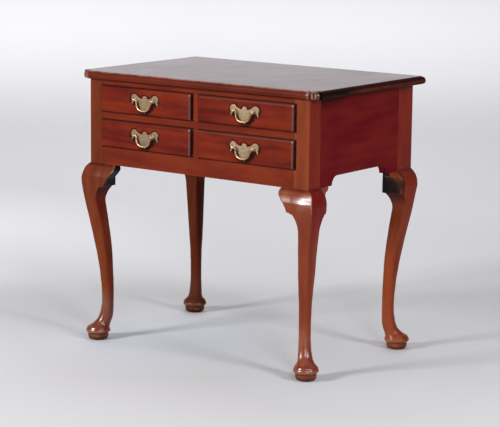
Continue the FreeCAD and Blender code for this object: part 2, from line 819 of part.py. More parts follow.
def tails(name, x, low, height, shoulder, toward):
    """Dovetails on the end of a drawer's side, wider at their tips."""
    cut_pieces = []
    count = int(value("tail_count"))
    for index in range(count):
        wedge = doc.addObject("Part::Wedge", "%s_%d" % (name, index))
        pitch = "(%s) / tail_count" % height
        wide = "%s * tail_share" % pitch
        middle = "%s + %s * (%d + 0.5)" % (low, pitch, index)
        near, far = ("Z2", "Z") if toward < 0 else ("Z", "Z2")
        wedge.setExpression("Xmin", linked("0"))
        wedge.setExpression("Xmax", linked("drawer_side_thickness"))
        wedge.setExpression("X2min", linked("0"))
        wedge.setExpression("X2max", linked("drawer_side_thickness"))
        wedge.setExpression("Ymin", linked("0"))
        wedge.setExpression("Ymax", linked("tail_length" if toward < 0
                                           else "drawer_back_thickness"))
        wedge.setExpression(far + "min", linked("-(%s) / 2" % wide))
        wedge.setExpression(far + "max", linked("(%s) / 2" % wide))
        wedge.setExpression(near + "min", linked("-(%s) / 2 + tail_flare" % wide))
        wedge.setExpression(near + "max", linked("(%s) / 2 - tail_flare" % wide))
        place(wedge, x, shoulder, middle)
        cut_pieces.append(wedge)
    return cut_pieces


def drawer_box(name, side, floor, height):
    """The sides, back and bottom of one drawer, and the tails its front takes."""
    inner_x = mirrored(side, "drawer_inner", "drawer_side_thickness")
    outer_x = mirrored(side, "drawer_outer - drawer_side_thickness",
                       "drawer_side_thickness")
    hands = {"left": inner_x, "right": outer_x}
    if side < 0:
        hands = {"left": outer_x, "right": inner_x}
    across = "drawer_outer - drawer_inner"
    start_x = mirrored(side, "drawer_inner", across)
    bottom_low = floor + " + bottom_rise"
    bottom = node(name + "_bottom", box(
        name + "_bottom_board",
        start_x + " + drawer_side_thickness - groove_depth",
        "front_inside - groove_depth", bottom_low,
        across + " - 2 * (drawer_side_thickness - groove_depth)",
        "drawer_back - front_inside + groove_depth", "drawer_bottom_thickness"))
    rear_low = floor + " + bottom_rise + drawer_bottom_thickness"
    rear_height = height + " - bottom_rise - drawer_bottom_thickness"
    front_tails = []
    rear_tails = []
    for hand, x in hands.items():
        word = "%s_side_%s" % (name, hand)
        ahead = tails(word + "_tail", x, floor, height, "front_inside - tail_length", -1)
        behind = tails(word + "_end", x, rear_low, rear_height,
                       "drawer_back - drawer_back_thickness", 1)
        board = box(word + "_board", x, "front_inside", floor, "drawer_side_thickness",
                    "drawer_back - drawer_back_thickness - front_inside", height)
        heel = box(word + "_heel", x, "drawer_back - drawer_back_thickness", floor,
                   "drawer_side_thickness", "drawer_back_thickness",
                   "bottom_rise + drawer_bottom_thickness")
        whole = fuse(word + "_blank", [board, heel] + ahead + behind)
        node(word, cut(word + "_cut", whole, [bottom]))
        front_tails += ahead
        rear_tails += behind
    back_board = box(name + "_back_board", start_x,
                     "drawer_back - drawer_back_thickness", rear_low,
                     across, "drawer_back_thickness", rear_height)
    node(name + "_back", cut(name + "_back_cut", back_board, rear_tails))
    return front_tails + [bottom]


# ------------------------------------------------------------------------ pulls
# Half of the plate's outline from the top lobe down to the finial, as arcs, each
# (middle across, middle up, end across, end up). Across is a share of half the
# plate's width. Up is a share of its rise above the bolts, or of its fall below.
PLATE_ARCS = (
    (0.11, 0.7, 0.15, 0.56),
    (0.20, 0.27, 0.29, 0.29),
    (0.44, 0.42, 0.60, 0.83),
    (0.78, 1.0, 0.96, 0.70),
    (1.0, 0.28, 0.95, -0.14),
    (0.955, -0.31, 0.91, -0.42),
    (0.80, -0.29, 0.64, -0.31),
    (0.47, -0.35, 0.37, -0.48),
    (0.30, -0.67, 0.13, -0.76),
    (0.06, -0.86, 0, -1.0),
)
PLATE_TOP_SHARE = 0.76


def plate_outline(x, y, z):
    """The closed bat-wing outline round a plate, from arcs and their mirror images."""
    half = value("plate_width") / 2

    def at(hand, across, up):
        tall = value("plate_rise") if up > 0 else value("plate_fall")
        return point(x + hand * across * half, y, z + up * tall)

    edges = []
    for hand in (-1, 1):
        start = at(hand, 0, PLATE_TOP_SHARE)
        for mid_across, mid_up, end_across, end_up in PLATE_ARCS:
            end = at(hand, end_across, end_up)
            edges.append(arc(start, at(hand, mid_across, mid_up), end))
            start = end
    return Part.Wire(Part.__sortEdges__(edges))


def pull_bolt(name, x, z):
    """A ball-headed bolt through plate and front, drilled for the bail's pin."""
    parts = [
        cylinder(name + "_shank", x, "plate_face", z, "bolt_shank_radius",
                 "front_inside + nut_thickness - plate_face + 1", "Y"),
        cylinder(name + "_collar", x, "plate_face - bolt_collar_height", z,
                 "bolt_collar_radius", "bolt_collar_height", "Y"),
        cylinder(name + "_neck", x, "bail_plane", z, "bolt_neck_radius",
                 "plate_face - bail_plane", "Y"),
    ]
    ball = doc.addObject("Part::Sphere", name + "_ball")
    ball.setExpression("Radius", linked("bolt_head_radius"))
    place(ball, x, "bail_plane", z)
    bore = cylinder(name + "_bore", "%s - 2 * bolt_head_radius" % x, "bail_plane", z,
                    "bail_pin_radius + bail_pin_clearance", "4 * bolt_head_radius", "X")
    bolt = cut(name, fuse(name + "_whole", parts + [ball]), [bore])
    nut = box(name + "_nut_block", "%s - nut_width / 2" % x, "front_inside",
              "%s - nut_width / 2" % z, "nut_width", "nut_thickness", "nut_width")
    hole = cylinder(name + "_nut_hole", x, "front_inside", z, "bolt_shank_radius",
                    "nut_thickness", "Y")
    return bolt, cut(name + "_nut", nut, [hole])


def bail(name, x, z):
    """A swinging handle: a rod bent to a U, its ends turned out into the bolts."""
    y = value("bail_plane")
    middle, height = value(x), value(z)
    half = value("bail_half_width")
    drop = value("bail_drop")
    bend = value("bail_bend")
    shoulder = value("bail_shoulder")
    pin_end = value("bolt_spacing / 2 + bail_pin_reach")
    turn = math.sqrt(0.5)

    def at(across, up):
        return point(middle + across, y, height + up)

    edges = []
    for hand in (-1, 1):
        elbow = half + shoulder
        edges.append(arc(at(hand * elbow, 0),
                         at(hand * (elbow - shoulder * turn), -shoulder * (1 - turn)),
                         at(hand * half, -shoulder)))
        edges.append(Part.makeLine(at(hand * half, -shoulder), at(hand * half, bend - drop)))
        edges.append(arc(at(hand * half, bend - drop),
                         at(hand * (half - bend * (1 - turn)), bend - drop - bend * turn),
                         at(hand * (half - bend), -drop)))
    edges.append(Part.makeLine(at(bend - half, -drop), at(half - bend, -drop)))
    path = Part.Wire(Part.__sortEdges__(edges))
    start = path.OrderedVertexes[0].Point
    section = Part.Wire(Part.makeCircle(value("bail_radius"), start, point(1, 0, 0)))
    rod = path.makePipeShell([section], True, True)
    pins = []
    for hand in (-1, 1):
        inner = half + shoulder
        pins.append(Part.makeCylinder(value("bail_pin_radius"), pin_end - inner,
                                      at(hand * inner, 0), point(hand, 0, 0)))
    return node(name + "_bail", feature(name + "_bail_rod", rod.fuse(pins)))


def pull(name, side, floor):
    """Plate, bolts and bail of one drawer. Returns what its front is bored for."""
    x = "%d * drawer_middle" % side
    z = floor + " + pull_height"
    outline = Part.Face(plate_outline(value(x), value("front_face"), value(z)))
    plate = feature(name + "_plate",
                    outline.extrude(point(0, -value("plate_thickness"), 0)))
    bolts = []
    nuts = []
    for hand in (-1, 1):
        bolt_x = "%s + %d * bolt_spacing / 2" % (x, hand)
        bolt, nut = pull_bolt("%s_bolt_%s" % (name, side_name(hand)), bolt_x, z)
        bolts.append(bolt)
        nuts.append(nut)
    node(name + "_pull_plate", cut(name + "_plate_bored", plate, bolts))
    node(name + "_pull_bolts", compound(name + "_bolts", bolts + nuts))
    bail(name, x, z)
    return bolts


def drawer(level, side, floor, opening):
    """One drawer with its pull."""
    name = "%s_%s_drawer" % (level, side_name(side))
    height = opening + " - drawer_top_gap"
    tools = drawer_box(name, side, floor, height)
    tools += pull(name, side, floor)
    blank = drawer_front_blank(name, side, floor, opening)
    return node(name + "_front", cut(name + "_front_cut", blank, tools))


# ------------------------------------------------------------------- the whole
def build():
    fill_sheet()
    rails = front_frame()
    back = back_panel()
    for side in (-1, 1):
        panel = side_panel(side)
        leg(side, True, rails + [panel])
        leg(side, False, [back, panel])
    knee_blocks()
    top_and_kickers()
    for level, floor, opening in (("upper", "upper_floor", "upper_opening"),
                                  ("lower", "lower_floor", "lower_opening")):
        for side in (-1, 1):
            drawer(level, side, floor, opening)
    doc.recompute()


def check():
    """Stop before anything is written if a step of the model failed."""
    for item in doc.Objects:
        if "Invalid" in item.State or "Error" in item.State:
            raise RuntimeError("%s: %s" % (item.Label, item.State))
    for piece in NODES:
        if piece.Shape.isNull() or not piece.Shape.isValid():
            raise RuntimeError("%s has no valid shape" % piece.Label)
        if not piece.Shape.Solids:
            raise RuntimeError("%s has no solid" % piece.Label)


def write():
    os.makedirs("parts", exist_ok=True)
    for piece in NODES:
        piece.Shape.exportStep(os.path.join("parts", piece.Label + ".step"))
        print(piece.Label, len(piece.Shape.Solids), "solids",
              round(piece.Shape.Volume), "mm3")


build()
check()
write()
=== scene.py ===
"""Looks of a four-drawer lowboy: old red-brown polish, dull brass and worn edges.

Lengths are in metres. X runs to the right along the front, Y from front to back, Z up.
"""
import logging
from dataclasses import dataclass, replace
from enum import Enum
from fnmatch import fnmatch
from typing import ClassVar

import bmesh
import bpy
import numpy as np
from mathutils import Matrix, Vector


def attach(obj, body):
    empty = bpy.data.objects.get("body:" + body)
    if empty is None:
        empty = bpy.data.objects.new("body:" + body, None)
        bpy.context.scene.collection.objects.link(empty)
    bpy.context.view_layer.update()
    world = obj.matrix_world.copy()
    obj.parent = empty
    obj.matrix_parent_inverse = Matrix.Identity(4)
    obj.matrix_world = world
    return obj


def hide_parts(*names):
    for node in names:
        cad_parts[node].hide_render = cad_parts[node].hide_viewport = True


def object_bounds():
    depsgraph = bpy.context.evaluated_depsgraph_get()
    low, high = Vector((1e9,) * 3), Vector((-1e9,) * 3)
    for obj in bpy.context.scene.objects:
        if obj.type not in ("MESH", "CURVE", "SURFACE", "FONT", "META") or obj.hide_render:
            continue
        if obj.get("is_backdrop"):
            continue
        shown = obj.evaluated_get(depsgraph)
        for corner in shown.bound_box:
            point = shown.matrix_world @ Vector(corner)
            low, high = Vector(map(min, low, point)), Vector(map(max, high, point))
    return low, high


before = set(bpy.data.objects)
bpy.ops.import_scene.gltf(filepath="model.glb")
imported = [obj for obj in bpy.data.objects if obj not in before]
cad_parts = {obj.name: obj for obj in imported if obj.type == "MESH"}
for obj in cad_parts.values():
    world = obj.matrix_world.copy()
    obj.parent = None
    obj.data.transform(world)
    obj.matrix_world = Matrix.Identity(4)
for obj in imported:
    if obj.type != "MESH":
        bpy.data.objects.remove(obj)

Array = np.ndarray
Colour = tuple[float, float, float]
Place = tuple[float, float, float]
Table = tuple[tuple[float, ...], ...]
log = logging.getLogger("lowboy")
MM = 0.001
WELD = 2e-6


class Facing(Enum):
    """The way the grain of a board runs, as the turn that brings it onto X."""

    ALONG_X = (0.0, 0.0, 0.0)
    ALONG_Y = (0.0, 0.0, -np.pi / 2)
    ALONG_Z = (0.0, np.pi / 2, 0.0)


# ---- numbers
def smooth_through(at: Array, table: Table | Array) -> Array:
    """Monotone cubic curve through a table's values: Fritsch and Carlson's slopes.

    Args:
        at: where the curve is wanted, inside the table's range.
        table: rising places in the first column, the values there in the others.

    Returns:
        The curve's values, shape (len(at), columns - 1).
    """
    table = np.asarray(table, float)
    knots, values = table[:, 0], table[:, 1:]
    gaps = np.diff(knots)[:, None]
    rise = np.diff(values, axis=0) / gaps
    left, right = rise[:-1], rise[1:]
    weight_a = 2 * gaps[1:] + gaps[:-1]
    weight_b = gaps[1:] + 2 * gaps[:-1]
    with np.errstate(divide="ignore", invalid="ignore"):
        mean = (weight_a + weight_b) / (weight_a / left + weight_b / right)
    slopes = np.vstack([rise[:1], np.where(left * right > 0, mean, 0.0), rise[-1:]])
    index = np.clip(np.searchsorted(knots, at, side="right") - 1, 0, len(knots) - 2)
    width = gaps[index]
    t = (at - knots[index])[:, None] / width
    return (values[index] * (1 + 2 * t) * (1 - t) ** 2
            + slopes[index] * width * t * (1 - t) ** 2
            + values[index + 1] * t * t * (3 - 2 * t)
            + slopes[index + 1] * width * t * t * (t - 1))


def straight_through(at: Array, table: Table) -> Array:
    """Straight lines through a table of places and values, shape (len(at),)."""
    return np.interp(at, *np.array(table).T)


def blend_between(share: Array, low: float, high: float) -> Array:
    """Zero below low, one above high, and an S-curve between them."""
    t = np.clip((share - low) / (high - low), 0, 1)
    return t * t * (3 - 2 * t)


def bell(at: Array, middle: float, width: float) -> Array:
    """A bell curve, 1 at its middle."""
    return np.exp(-((at - middle) / width) ** 2)


def points_from(x: Array, y: Array, z: Array) -> Array:
    """A grid of points from its coordinates, each spread to their common shape."""
    return np.stack(np.broadcast_arrays(x, y, z), -1)


def ripple(points: Array, waves: float, seed: int) -> Array:
    """A slow, seeded unevenness over space: a sum of sines along random directions.

    Args:
        points: places in space, shape (..., 3).
        waves: about how many waves there are in a metre.
        seed: picks the directions and phases.

    Returns:
        Values of about -1 to 1, shape (...).
    """
    draw = np.random.default_rng(seed)
    total = np.zeros(points.shape[:-1])
    for _ in range(5):
        way = draw.normal(size=3)
        way *= 2 * np.pi * waves * draw.uniform(0.6, 1.5) / np.linalg.norm(way)
        total += np.sin(points @ way + draw.uniform(0, 2 * np.pi))
    return total / 3


# ---- meshes
def new_skin(name: str, points: Array, crease: float, closed: bool = True,
             lid_gloss: float = 0.0, **marks: Array | float) -> bpy.types.Object:
    """Make an object of a grid of points, welded where they meet.

    Args:
        name: the object's name.
        points: the surface's points, shape (rows, columns, 3).
        crease: the angle in degrees from which an edge shows as sharp.
        closed: whether the columns join all round and flat lids close both ends.
        lid_gloss: the gloss of the lid at the first row.
        marks: wear, dirt with painted shade, or gloss of each point, 0 to 1, shape (rows,
            columns).

    Returns:
        The new object, at the origin, unturned and unscaled.
    """
    rows, columns = points.shape[:2]
    index = np.arange((rows + 2) * columns).reshape(rows + 2, columns)
    lids = index[rows:].tolist() if closed else []
    index = index[:rows, [*range(columns), 0]] if closed else index[:rows]
    quads = np.stack([index[:-1, :-1], index[:-1, 1:], index[1:, 1:], index[1:, :-1]], -1)
    if closed:
        points = np.concatenate([points, points[[0, -1]]])
    mesh = bpy.data.meshes.new(name)
    mesh.from_pydata(points.reshape(-1, 3).tolist(), [], quads.reshape(-1, 4).tolist() + lids)
    for word in ("wear", "grime", "gloss"):
        kept = np.zeros(points.shape[:2])
        kept[:rows] = marks.get(word, 0.0)
        if closed and word == "gloss":
            kept[rows] = lid_gloss
        write_mark(mesh, word, kept.reshape(-1))
    shell = bmesh.new()
    shell.from_mesh(mesh)
    bmesh.ops.remove_doubles(shell, verts=shell.verts, dist=WELD)
    bmesh.ops.dissolve_degenerate(shell, edges=shell.edges, dist=WELD / 20)
    bmesh.ops.recalc_face_normals(shell, faces=shell.faces)
    shell.to_mesh(mesh)
    shell.free()
    mesh.shade_smooth()
    mesh.set_sharp_from_angle(angle=np.radians(crease))
    made = bpy.data.objects.new(name, mesh)
    bpy.context.scene.collection.objects.link(made)
    return made


def write_mark(mesh: bpy.types.Mesh, word: str, values: Array) -> None:
    """Write a number for each vertex, kept under a name that materials can read."""
    mark = mesh.attributes.get(word) or mesh.attributes.new(word, "FLOAT", "POINT")
    mark.data.foreach_set("value", np.asarray(values, np.float32))


def read_vertices(mesh: bpy.types.Mesh) -> tuple[Array, Array]:
    """The places and the normals of a mesh's vertices, both of shape (n, 3)."""
    places, normals = np.empty((2, len(mesh.vertices) * 3), np.float32)
    mesh.vertices.foreach_get("co", places)
    mesh.vertices.foreach_get("normal", normals)
    return places.reshape(-1, 3), normals.reshape(-1, 3)


def finish_piece(made: bpy.types.Object, body: str, slot: str, material: bpy.types.Material,
                 *nodes: str) -> None:
    """Give a new piece its material, its body and the nodes that it stands for."""
    made.data.materials.clear()
    made.data.materials.append(material)
    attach(made, body)
    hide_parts(*nodes)
    log.info("%s: %d faces on %s", made.name, len(made.data.polygons), body)


# ---- materials
class Wire:
    """What a shader node gives, with plain arithmetic on it."""

    def __init__(self, nodes: "Nodes", node: bpy.types.Node, out: int | str = 0) -> None:
        """Stand for one output of a node."""
        self.nodes, self.node, self.out = nodes, node, out

    def __getitem__(self, out: int | str) -> "Wire":
        """Another output of the same node."""
        return Wire(self.nodes, self.node, out)

    def fill(self, inputs: dict[str | int, object]) -> "Wire":
        """Feed the node's inputs.

        Args:
            inputs: socket name or number, to a value or the wire that feeds it.

        Returns:
            This wire.
        """
        for word, given in inputs.items():
            socket = self.node.inputs[word]
            if isinstance(given, Wire):
                self.nodes.tree.links.new(given.node.outputs[given.out], socket)
            elif socket.type == "RGBA":
                socket.default_value = (*given, 1.0)
            else:
                socket.default_value = given
        return self

    def __add__(self, other: object) -> "Wire":
        """The sum."""
        return self.nodes.math("ADD", self, other)

    def __sub__(self, other: object) -> "Wire":
        """The difference."""
        return self.nodes.math("SUBTRACT", self, other)

    def __rsub__(self, other: object) -> "Wire":
        """The difference from a plain number."""
        return self.nodes.math("SUBTRACT", other, self)

    def __mul__(self, other: object) -> "Wire":
        """The product."""
        return self.nodes.math("MULTIPLY", self, other)

    def __truediv__(self, other: object) -> "Wire":
        """The quotient."""
        return self.nodes.math("DIVIDE", self, other)

    def __gt__(self, other: object) -> "Wire":
        """1 where this is larger, else 0."""
        return self.nodes.math("GREATER_THAN", self, other)

    def __lt__(self, other: object) -> "Wire":
        """1 where this is smaller, else 0."""
        return self.nodes.math("LESS_THAN", self, other)

    def __abs__(self) -> "Wire":
        """The size without the sign."""
        return self.nodes.math("ABSOLUTE", self)

    def ramp(self, low: float, high: float, start: float = 0.0, end: float = 1.0) -> "Wire":
        """This number moved from one range to another and kept inside it."""
        return self.nodes.add("ShaderNodeMapRange",
                              {0: self, 1: low, 2: high, 3: start, 4: end}, clamp=True)

    def pick(self, off: float, on: float) -> "Wire":
        """One number where this is 0 and another where it's 1."""
        return self.ramp(0.0, 1.0, off, on)

    def stretched(self, *size: float) -> "Wire":
        """This place with each of its axes scaled."""
        return self.nodes.vector("MULTIPLY", self, size)


class Nodes:
    """A short way to place and join shader nodes in one tree."""

    def __init__(self, tree: bpy.types.NodeTree) -> None:
        """Work in this tree."""
        self.tree = tree

    def add(self, kind: str, inputs: dict[str | int, object] | None = None,
            **settings: object) -> Wire:
        """Place a node.

        Args:
            kind: Blender's name for the node.
            inputs: socket name or number, to a value or the wire that feeds it.
            settings: the node's own properties.

        Returns:
            The new node's first output.
        """
        node = self.tree.nodes.new(kind)
        for word, setting in settings.items():
            setattr(node, word, setting)
        return Wire(self, node).fill(inputs or {})

    def math(self, operation: str, first: object, second: object = 0.0,
             clamp: bool = False) -> Wire:
        """The result of a sum on two numbers or wires."""
        return self.add("ShaderNodeMath", {0: first, 1: second}, operation=operation,
                        use_clamp=clamp)

    def most(self, first: Wire, second: Wire) -> Wire:
        """The larger of two numbers."""
        return self.math("MAXIMUM", first, second)

    def least(self, first: Wire, second: Wire) -> Wire:
        """The smaller of two numbers."""
        return self.math("MINIMUM", first, second)

    def vector(self, operation: str, first: Wire, second: Wire | Place = (0, 0, 0)) -> Wire:
        """The result of a sum on two vectors."""
        made = self.add("ShaderNodeVectorMath", {0: first, 1: second}, operation=operation)
        is_number = operation in ("DOT_PRODUCT", "DISTANCE", "LENGTH")
        return made["Value" if is_number else "Vector"]

    def axes(self, place: Wire) -> tuple[Wire, Wire, Wire]:
        """The three coordinates of a place."""
        split = self.add("ShaderNodeSeparateXYZ", {0: place})
        return split[0], split[1], split[2]

    def mark(self, word: str) -> Wire:
        """The number that the vertices keep under a name."""
        return self.add("ShaderNodeAttribute", attribute_name=word)["Fac"]

    def mix(self, share: object, first: object, second: object, blend: str = "MIX") -> Wire:
        """A colour between two colours."""
        return self.add("ShaderNodeMix", {0: share, 6: first, 7: second}, data_type="RGBA",
                        blend_type=blend)[2]

    def noise(self, place: Wire, scale: float, detail: float = 2.0, roughness: float = 0.5,
              distortion: float = 0.0) -> Wire:
        """Plain noise of a scale."""
        return self.add("ShaderNodeTexNoise", {
            "Vector": place, "Scale": scale, "Detail": detail, "Roughness": roughness,
            "Distortion": distortion})

    def group(self, name: str, **inputs: object) -> Wire:
        """Place one of the shared groups."""
        return self.add("ShaderNodeGroup", inputs, node_tree=GROUPS[name])


GROUPS: dict[str, bpy.types.NodeTree] = {}


def new_group(name: str, takes: dict[str, object], *gives: str) -> tuple[Nodes, Wire]:
    """Start a shared shader node group.

    Args:
        name: the group's name.
        takes: input name to its first value: a number, a colour, or None for a vector.
        gives: the outputs' names. All but Color are numbers.

    Returns:
        The group's nodes and its inputs.
    """
    tree = GROUPS[name] = bpy.data.node_groups.new(name, "ShaderNodeTree")
    for word, first in takes.items():
        kind = {type(None): "Vector", tuple: "Color", float: "Float"}[type(first)]
        socket = tree.interface.new_socket(word, in_out="INPUT",
                                           socket_type=f"NodeSocket{kind}")
        if first is not None:
            socket.default_value = (*first, 1.0) if kind == "Color" else first
    for word in gives:
        kind = "Color" if word == "Color" else "Float"
        tree.interface.new_socket(word, in_out="OUTPUT", socket_type=f"NodeSocket{kind}")
    nodes = Nodes(tree)
    return nodes, nodes.add("NodeGroupInput")


@dataclass(frozen=True)
class Lips:
    """Where the drawers' lips, the pulls, and the dirt and painted shadow round the pulls lie.

    The lower drawers' values come first, then the upper ones'.
    """

    near_x: float = 0.01125
    far_x: float = 0.3115
    rows: Table = ((0.5325, 0.6045), (0.6255, 0.694))
    halo_x: float = 0.1625
    pull_x: float = 0.161375
    pull_rows: tuple[float, float] = (0.5728, 0.6658)
    between_pulls: float = 0.615


LIPS = Lips()


def wood_figure_group() -> None:
    """Grain of a board whose fibres run along X: clouds, faint rings, streaks and pores."""
    n, start = new_group("wood_figure", {
        "Vector": None, "Light": (0.4, 0.1, 0.05), "Dark": (0.1, 0.02, 0.01), "Figure": 1.0,
        "Rings": 0.2, "Pores": 0.5}, "Color", "Height")
    place = start["Vector"]
    slow = n.noise(place.stretched(1.1, 5.0, 5.0), 2.2)
    bent = n.vector("ADD", place, n.add("ShaderNodeCombineXYZ", {1: slow * 0.05,
                                                                 2: slow * 0.04}))
    rings = n.add("ShaderNodeTexWave", {
        "Vector": bent.stretched(0.3, 4.0, 5.0), "Scale": 2.6, "Distortion": 4.0,
        "Detail": 3.0, "Detail Scale": 1.4, "Detail Roughness": 0.6},
        wave_type="RINGS", rings_direction="X")["Fac"]
    cloud = n.noise(place.stretched(2.2, 7.0, 7.0), 2.6, 3.0, 0.55)
    streak = n.noise(bent.stretched(1.4, 30.0, 30.0), 3.0, 3.0, 0.6)
    fine = n.noise(place.stretched(9.0, 420.0, 420.0), 2.0, 2.0, 0.6)
    tone = (cloud - 0.5) * 2.6 + (streak - 0.5) * 0.8 + (rings - 0.5) * start["Rings"]
    tone = n.math("ADD", tone * start["Figure"], 0.5, clamp=True)
    pore = fine.ramp(0.32, 0.5)
    colour = n.mix((1.0 - pore) * start["Pores"],
                   n.mix(tone, start["Dark"], start["Light"]), (0.035, 0.008, 0.004))
    n.add("NodeGroupOutput", {"Color": colour, "Height": pore * 0.6 + streak * 0.4})


def lip_sides(n: Nodes, place: Wire) -> tuple[Wire, Wire, Wire]:
    """How far a point lies to the left and right of its drawer's lips, and its height."""
    x, _, z = n.axes(place)
    on_right = x > 0.0
    return (on_right.pick(-LIPS.far_x, LIPS.near_x) - x,
            x - on_right.pick(-LIPS.near_x, LIPS.far_x), z)


def from_lips(n: Nodes, place: Wire) -> Wire:
    """How far a point lies outside its drawer's lips, less than 0 inside them.

    It is the larger of the distances across and up. To the right it starts later, so
    that the dark band there is wider: a painted shadow that the lips cast to the right.
    """
    left, right, height = lip_sides(n, place)
    rows = [n.most(low - height, height - high) for low, high in LIPS.rows]
    away = n.most(n.most(left, right - 0.0021), n.least(*rows))
    return away + (n.noise(place, 45.0, 3.0) - 0.5) * 0.0012


def from_pulls(n: Nodes, place: Wire) -> Wire:
    """How far a point lies from the nearest back plate: 1 at its rim, from ovals.

    The last oval is a painted shadow beside the bail's right arm.
    """
    x, _, z = n.axes(place)
    height = z - (z > LIPS.between_pulls).pick(*LIPS.pull_rows)
    across = abs(abs(x) - LIPS.halo_x)
    rightward = x - (x > 0.0).pick(-LIPS.halo_x, LIPS.halo_x)
    ovals = [n.vector("LENGTH", n.add("ShaderNodeCombineXYZ", {
                 0: (along - middle) / wide, 1: (height - level) / high}))
             for along, middle, level, wide, high in (
                 (across, 0.0, -0.0145, 0.0225, 0.0250),
                 (across, 0.034, 0.0005, 0.0140, 0.0150),
                 # A painted shadow beside the bail's right arm.
                 (rightward, 0.0268, -0.0135, 0.0048, 0.0125))]
    return n.least(n.least(ovals[0], ovals[1]), ovals[2])


def dirt_and_shade_group() -> None:
    """Dirt and painted shade: marked places, round lips, joints and pulls, and under the top.
    """
    n, start = new_group("grime", {
        "Vector": None, "Color": (0.5, 0.5, 0.5), "Grime": (0.010, 0.003, 0.002),
        "Lips": 0.0, "Pulls": 0.0}, "Color")
    x, y, z = n.axes(start["Vector"])
    # Round the lips: dirt, and painted shade in the gaps and shadows there, wider on the
    # right.
    lips = from_lips(n, start["Vector"]).ramp(0.0012, 0.0034, 1.0, 0.0)
    # Dark lines beside the posts, and a little further in below the case.
    joint = abs(x) - (z < CASE_SIZE.bottom).pick(0.3085, 0.2995)
    joint = abs(joint).ramp(0.0003, 0.0014, 0.45, 0.0)
    near = n.most(lips, joint) * start["Lips"]
    # Round the back plates: dirt, and a painted shadow beside each bail's right arm.
    pull_dirt_and_shadow = from_pulls(n, start["Vector"]).ramp(0.95, 1.32, 0.8, 0.0)
    near = n.most(near, pull_dirt_and_shadow * start["Pulls"])
    # Painted shadow of the top's overhang on the sides just under it, fading towards the back.
    overhang_shadow = (z.ramp(0.668, 0.700, 0.0, 0.75) * (z < 0.709) * (y > -0.1829)
                 * y.ramp(-0.165, -0.05, 1.0, 0.25))
    near = n.most(near, overhang_shadow * (abs(x) > 0.351))
    mask = n.most(near, n.mark("grime"))
    n.add("NodeGroupOutput", {"Color": n.mix(mask, start["Color"], start["Grime"])})


def lip_edge_group() -> None:
    """The drawers' rounded rims, where a greyish reflection is painted: the right-hand ones,
    and the upper ones less.

    The corners where the two meet get a painted highlight, and the right-hand sides a
    painted shadow.
    """
    n, start = new_group("lip_edge", {"Vector": None}, "Mask", "Corner", "Side")
    _, right, height = lip_sides(n, start["Vector"])
    x, y, _ = n.axes(start["Vector"])
    on_lip = y < -0.2308
    beside = right.ramp(-0.0062, -0.0046) * right.ramp(-0.0026, -0.0010, 1.0, 0.0) * on_lip
    tops = [high for _, high in LIPS.rows]
    drop = (height > tops[0] + 0.01).pick(*tops) - height
    above = drop.ramp(0.0030, 0.0048, 1.0, 0.0) * (x > 0.0).pick(0.1, 0.4)
    corner = abs(drop - 0.0042).ramp(0.0006, 0.0028, 0.7, 0.0)
    n.add("NodeGroupOutput", {"Mask": n.most(beside, above), "Corner": corner * beside,
                              "Side": right.ramp(-0.0022, -0.0006) * on_lip})


def sharp_edge_group() -> None:
    """How close a point is to a sharp edge: how far a rounded normal leans from it."""
    n, start = new_group("sharp_edge", {"Radius": 0.001}, "Mask")
    rounded = n.add("ShaderNodeBevel", {"Radius": start["Radius"]}, samples=4)
    lean = n.vector("DOT_PRODUCT", rounded, n.add("ShaderNodeNewGeometry")["Normal"])
    n.add("NodeGroupOutput", {"Mask": lean.ramp(0.99, 0.86)})


def edge_wear_group() -> None:
    """Rubbed edges: where a piece is marked as worn, broken up by noise."""
    n, start = new_group("edge_wear", {
        "Vector": None, "Color": (0.5, 0.5, 0.5), "Bare": (0.5, 0.3, 0.15), "Amount": 1.0,
        "Edges": 0.0}, "Color")
    broken = n.noise(start["Vector"], 60.0, 4.0, 0.65).ramp(0.34, 0.62)
    mask = n.math("MULTIPLY", n.most(n.mark("wear"), start["Edges"]) * broken,
                  start["Amount"], clamp=True)
    n.add("NodeGroupOutput", {"Color": n.mix(mask, start["Color"], start["Bare"])})


def old_polish_group() -> None:
    """Old polish: cloudy patches in its gloss and faint dull smears."""
    n, start = new_group("old_polish", {"Vector": None, "Low": 0.2, "High": 0.5},
                         "Roughness", "Haze")
    cloud = n.noise(start["Vector"], 9.0, 4.0, 0.6, 0.4)
    smear = n.noise(start["Vector"].stretched(60.0, 9.0, 25.0), 1.0, 3.0)
    haze = (cloud * 0.6 + smear * 0.4).ramp(0.34, 0.66)
    rough = start["Low"] + haze * (start["High"] - start["Low"])
    n.add("NodeGroupOutput", {"Roughness": rough, "Haze": haze})


def blank_material(name: str) -> tuple[bpy.types.Material, Nodes, Wire]:
    """A material with a Principled BSDF and nothing else."""
    material = bpy.data.materials.new(name)
    material.use_nodes = True
    material.node_tree.nodes.clear()
    n = Nodes(material.node_tree)
    shader = n.add("ShaderNodeBsdfPrincipled")
    n.add("ShaderNodeOutputMaterial", {0: shader})
    return material, n, shader


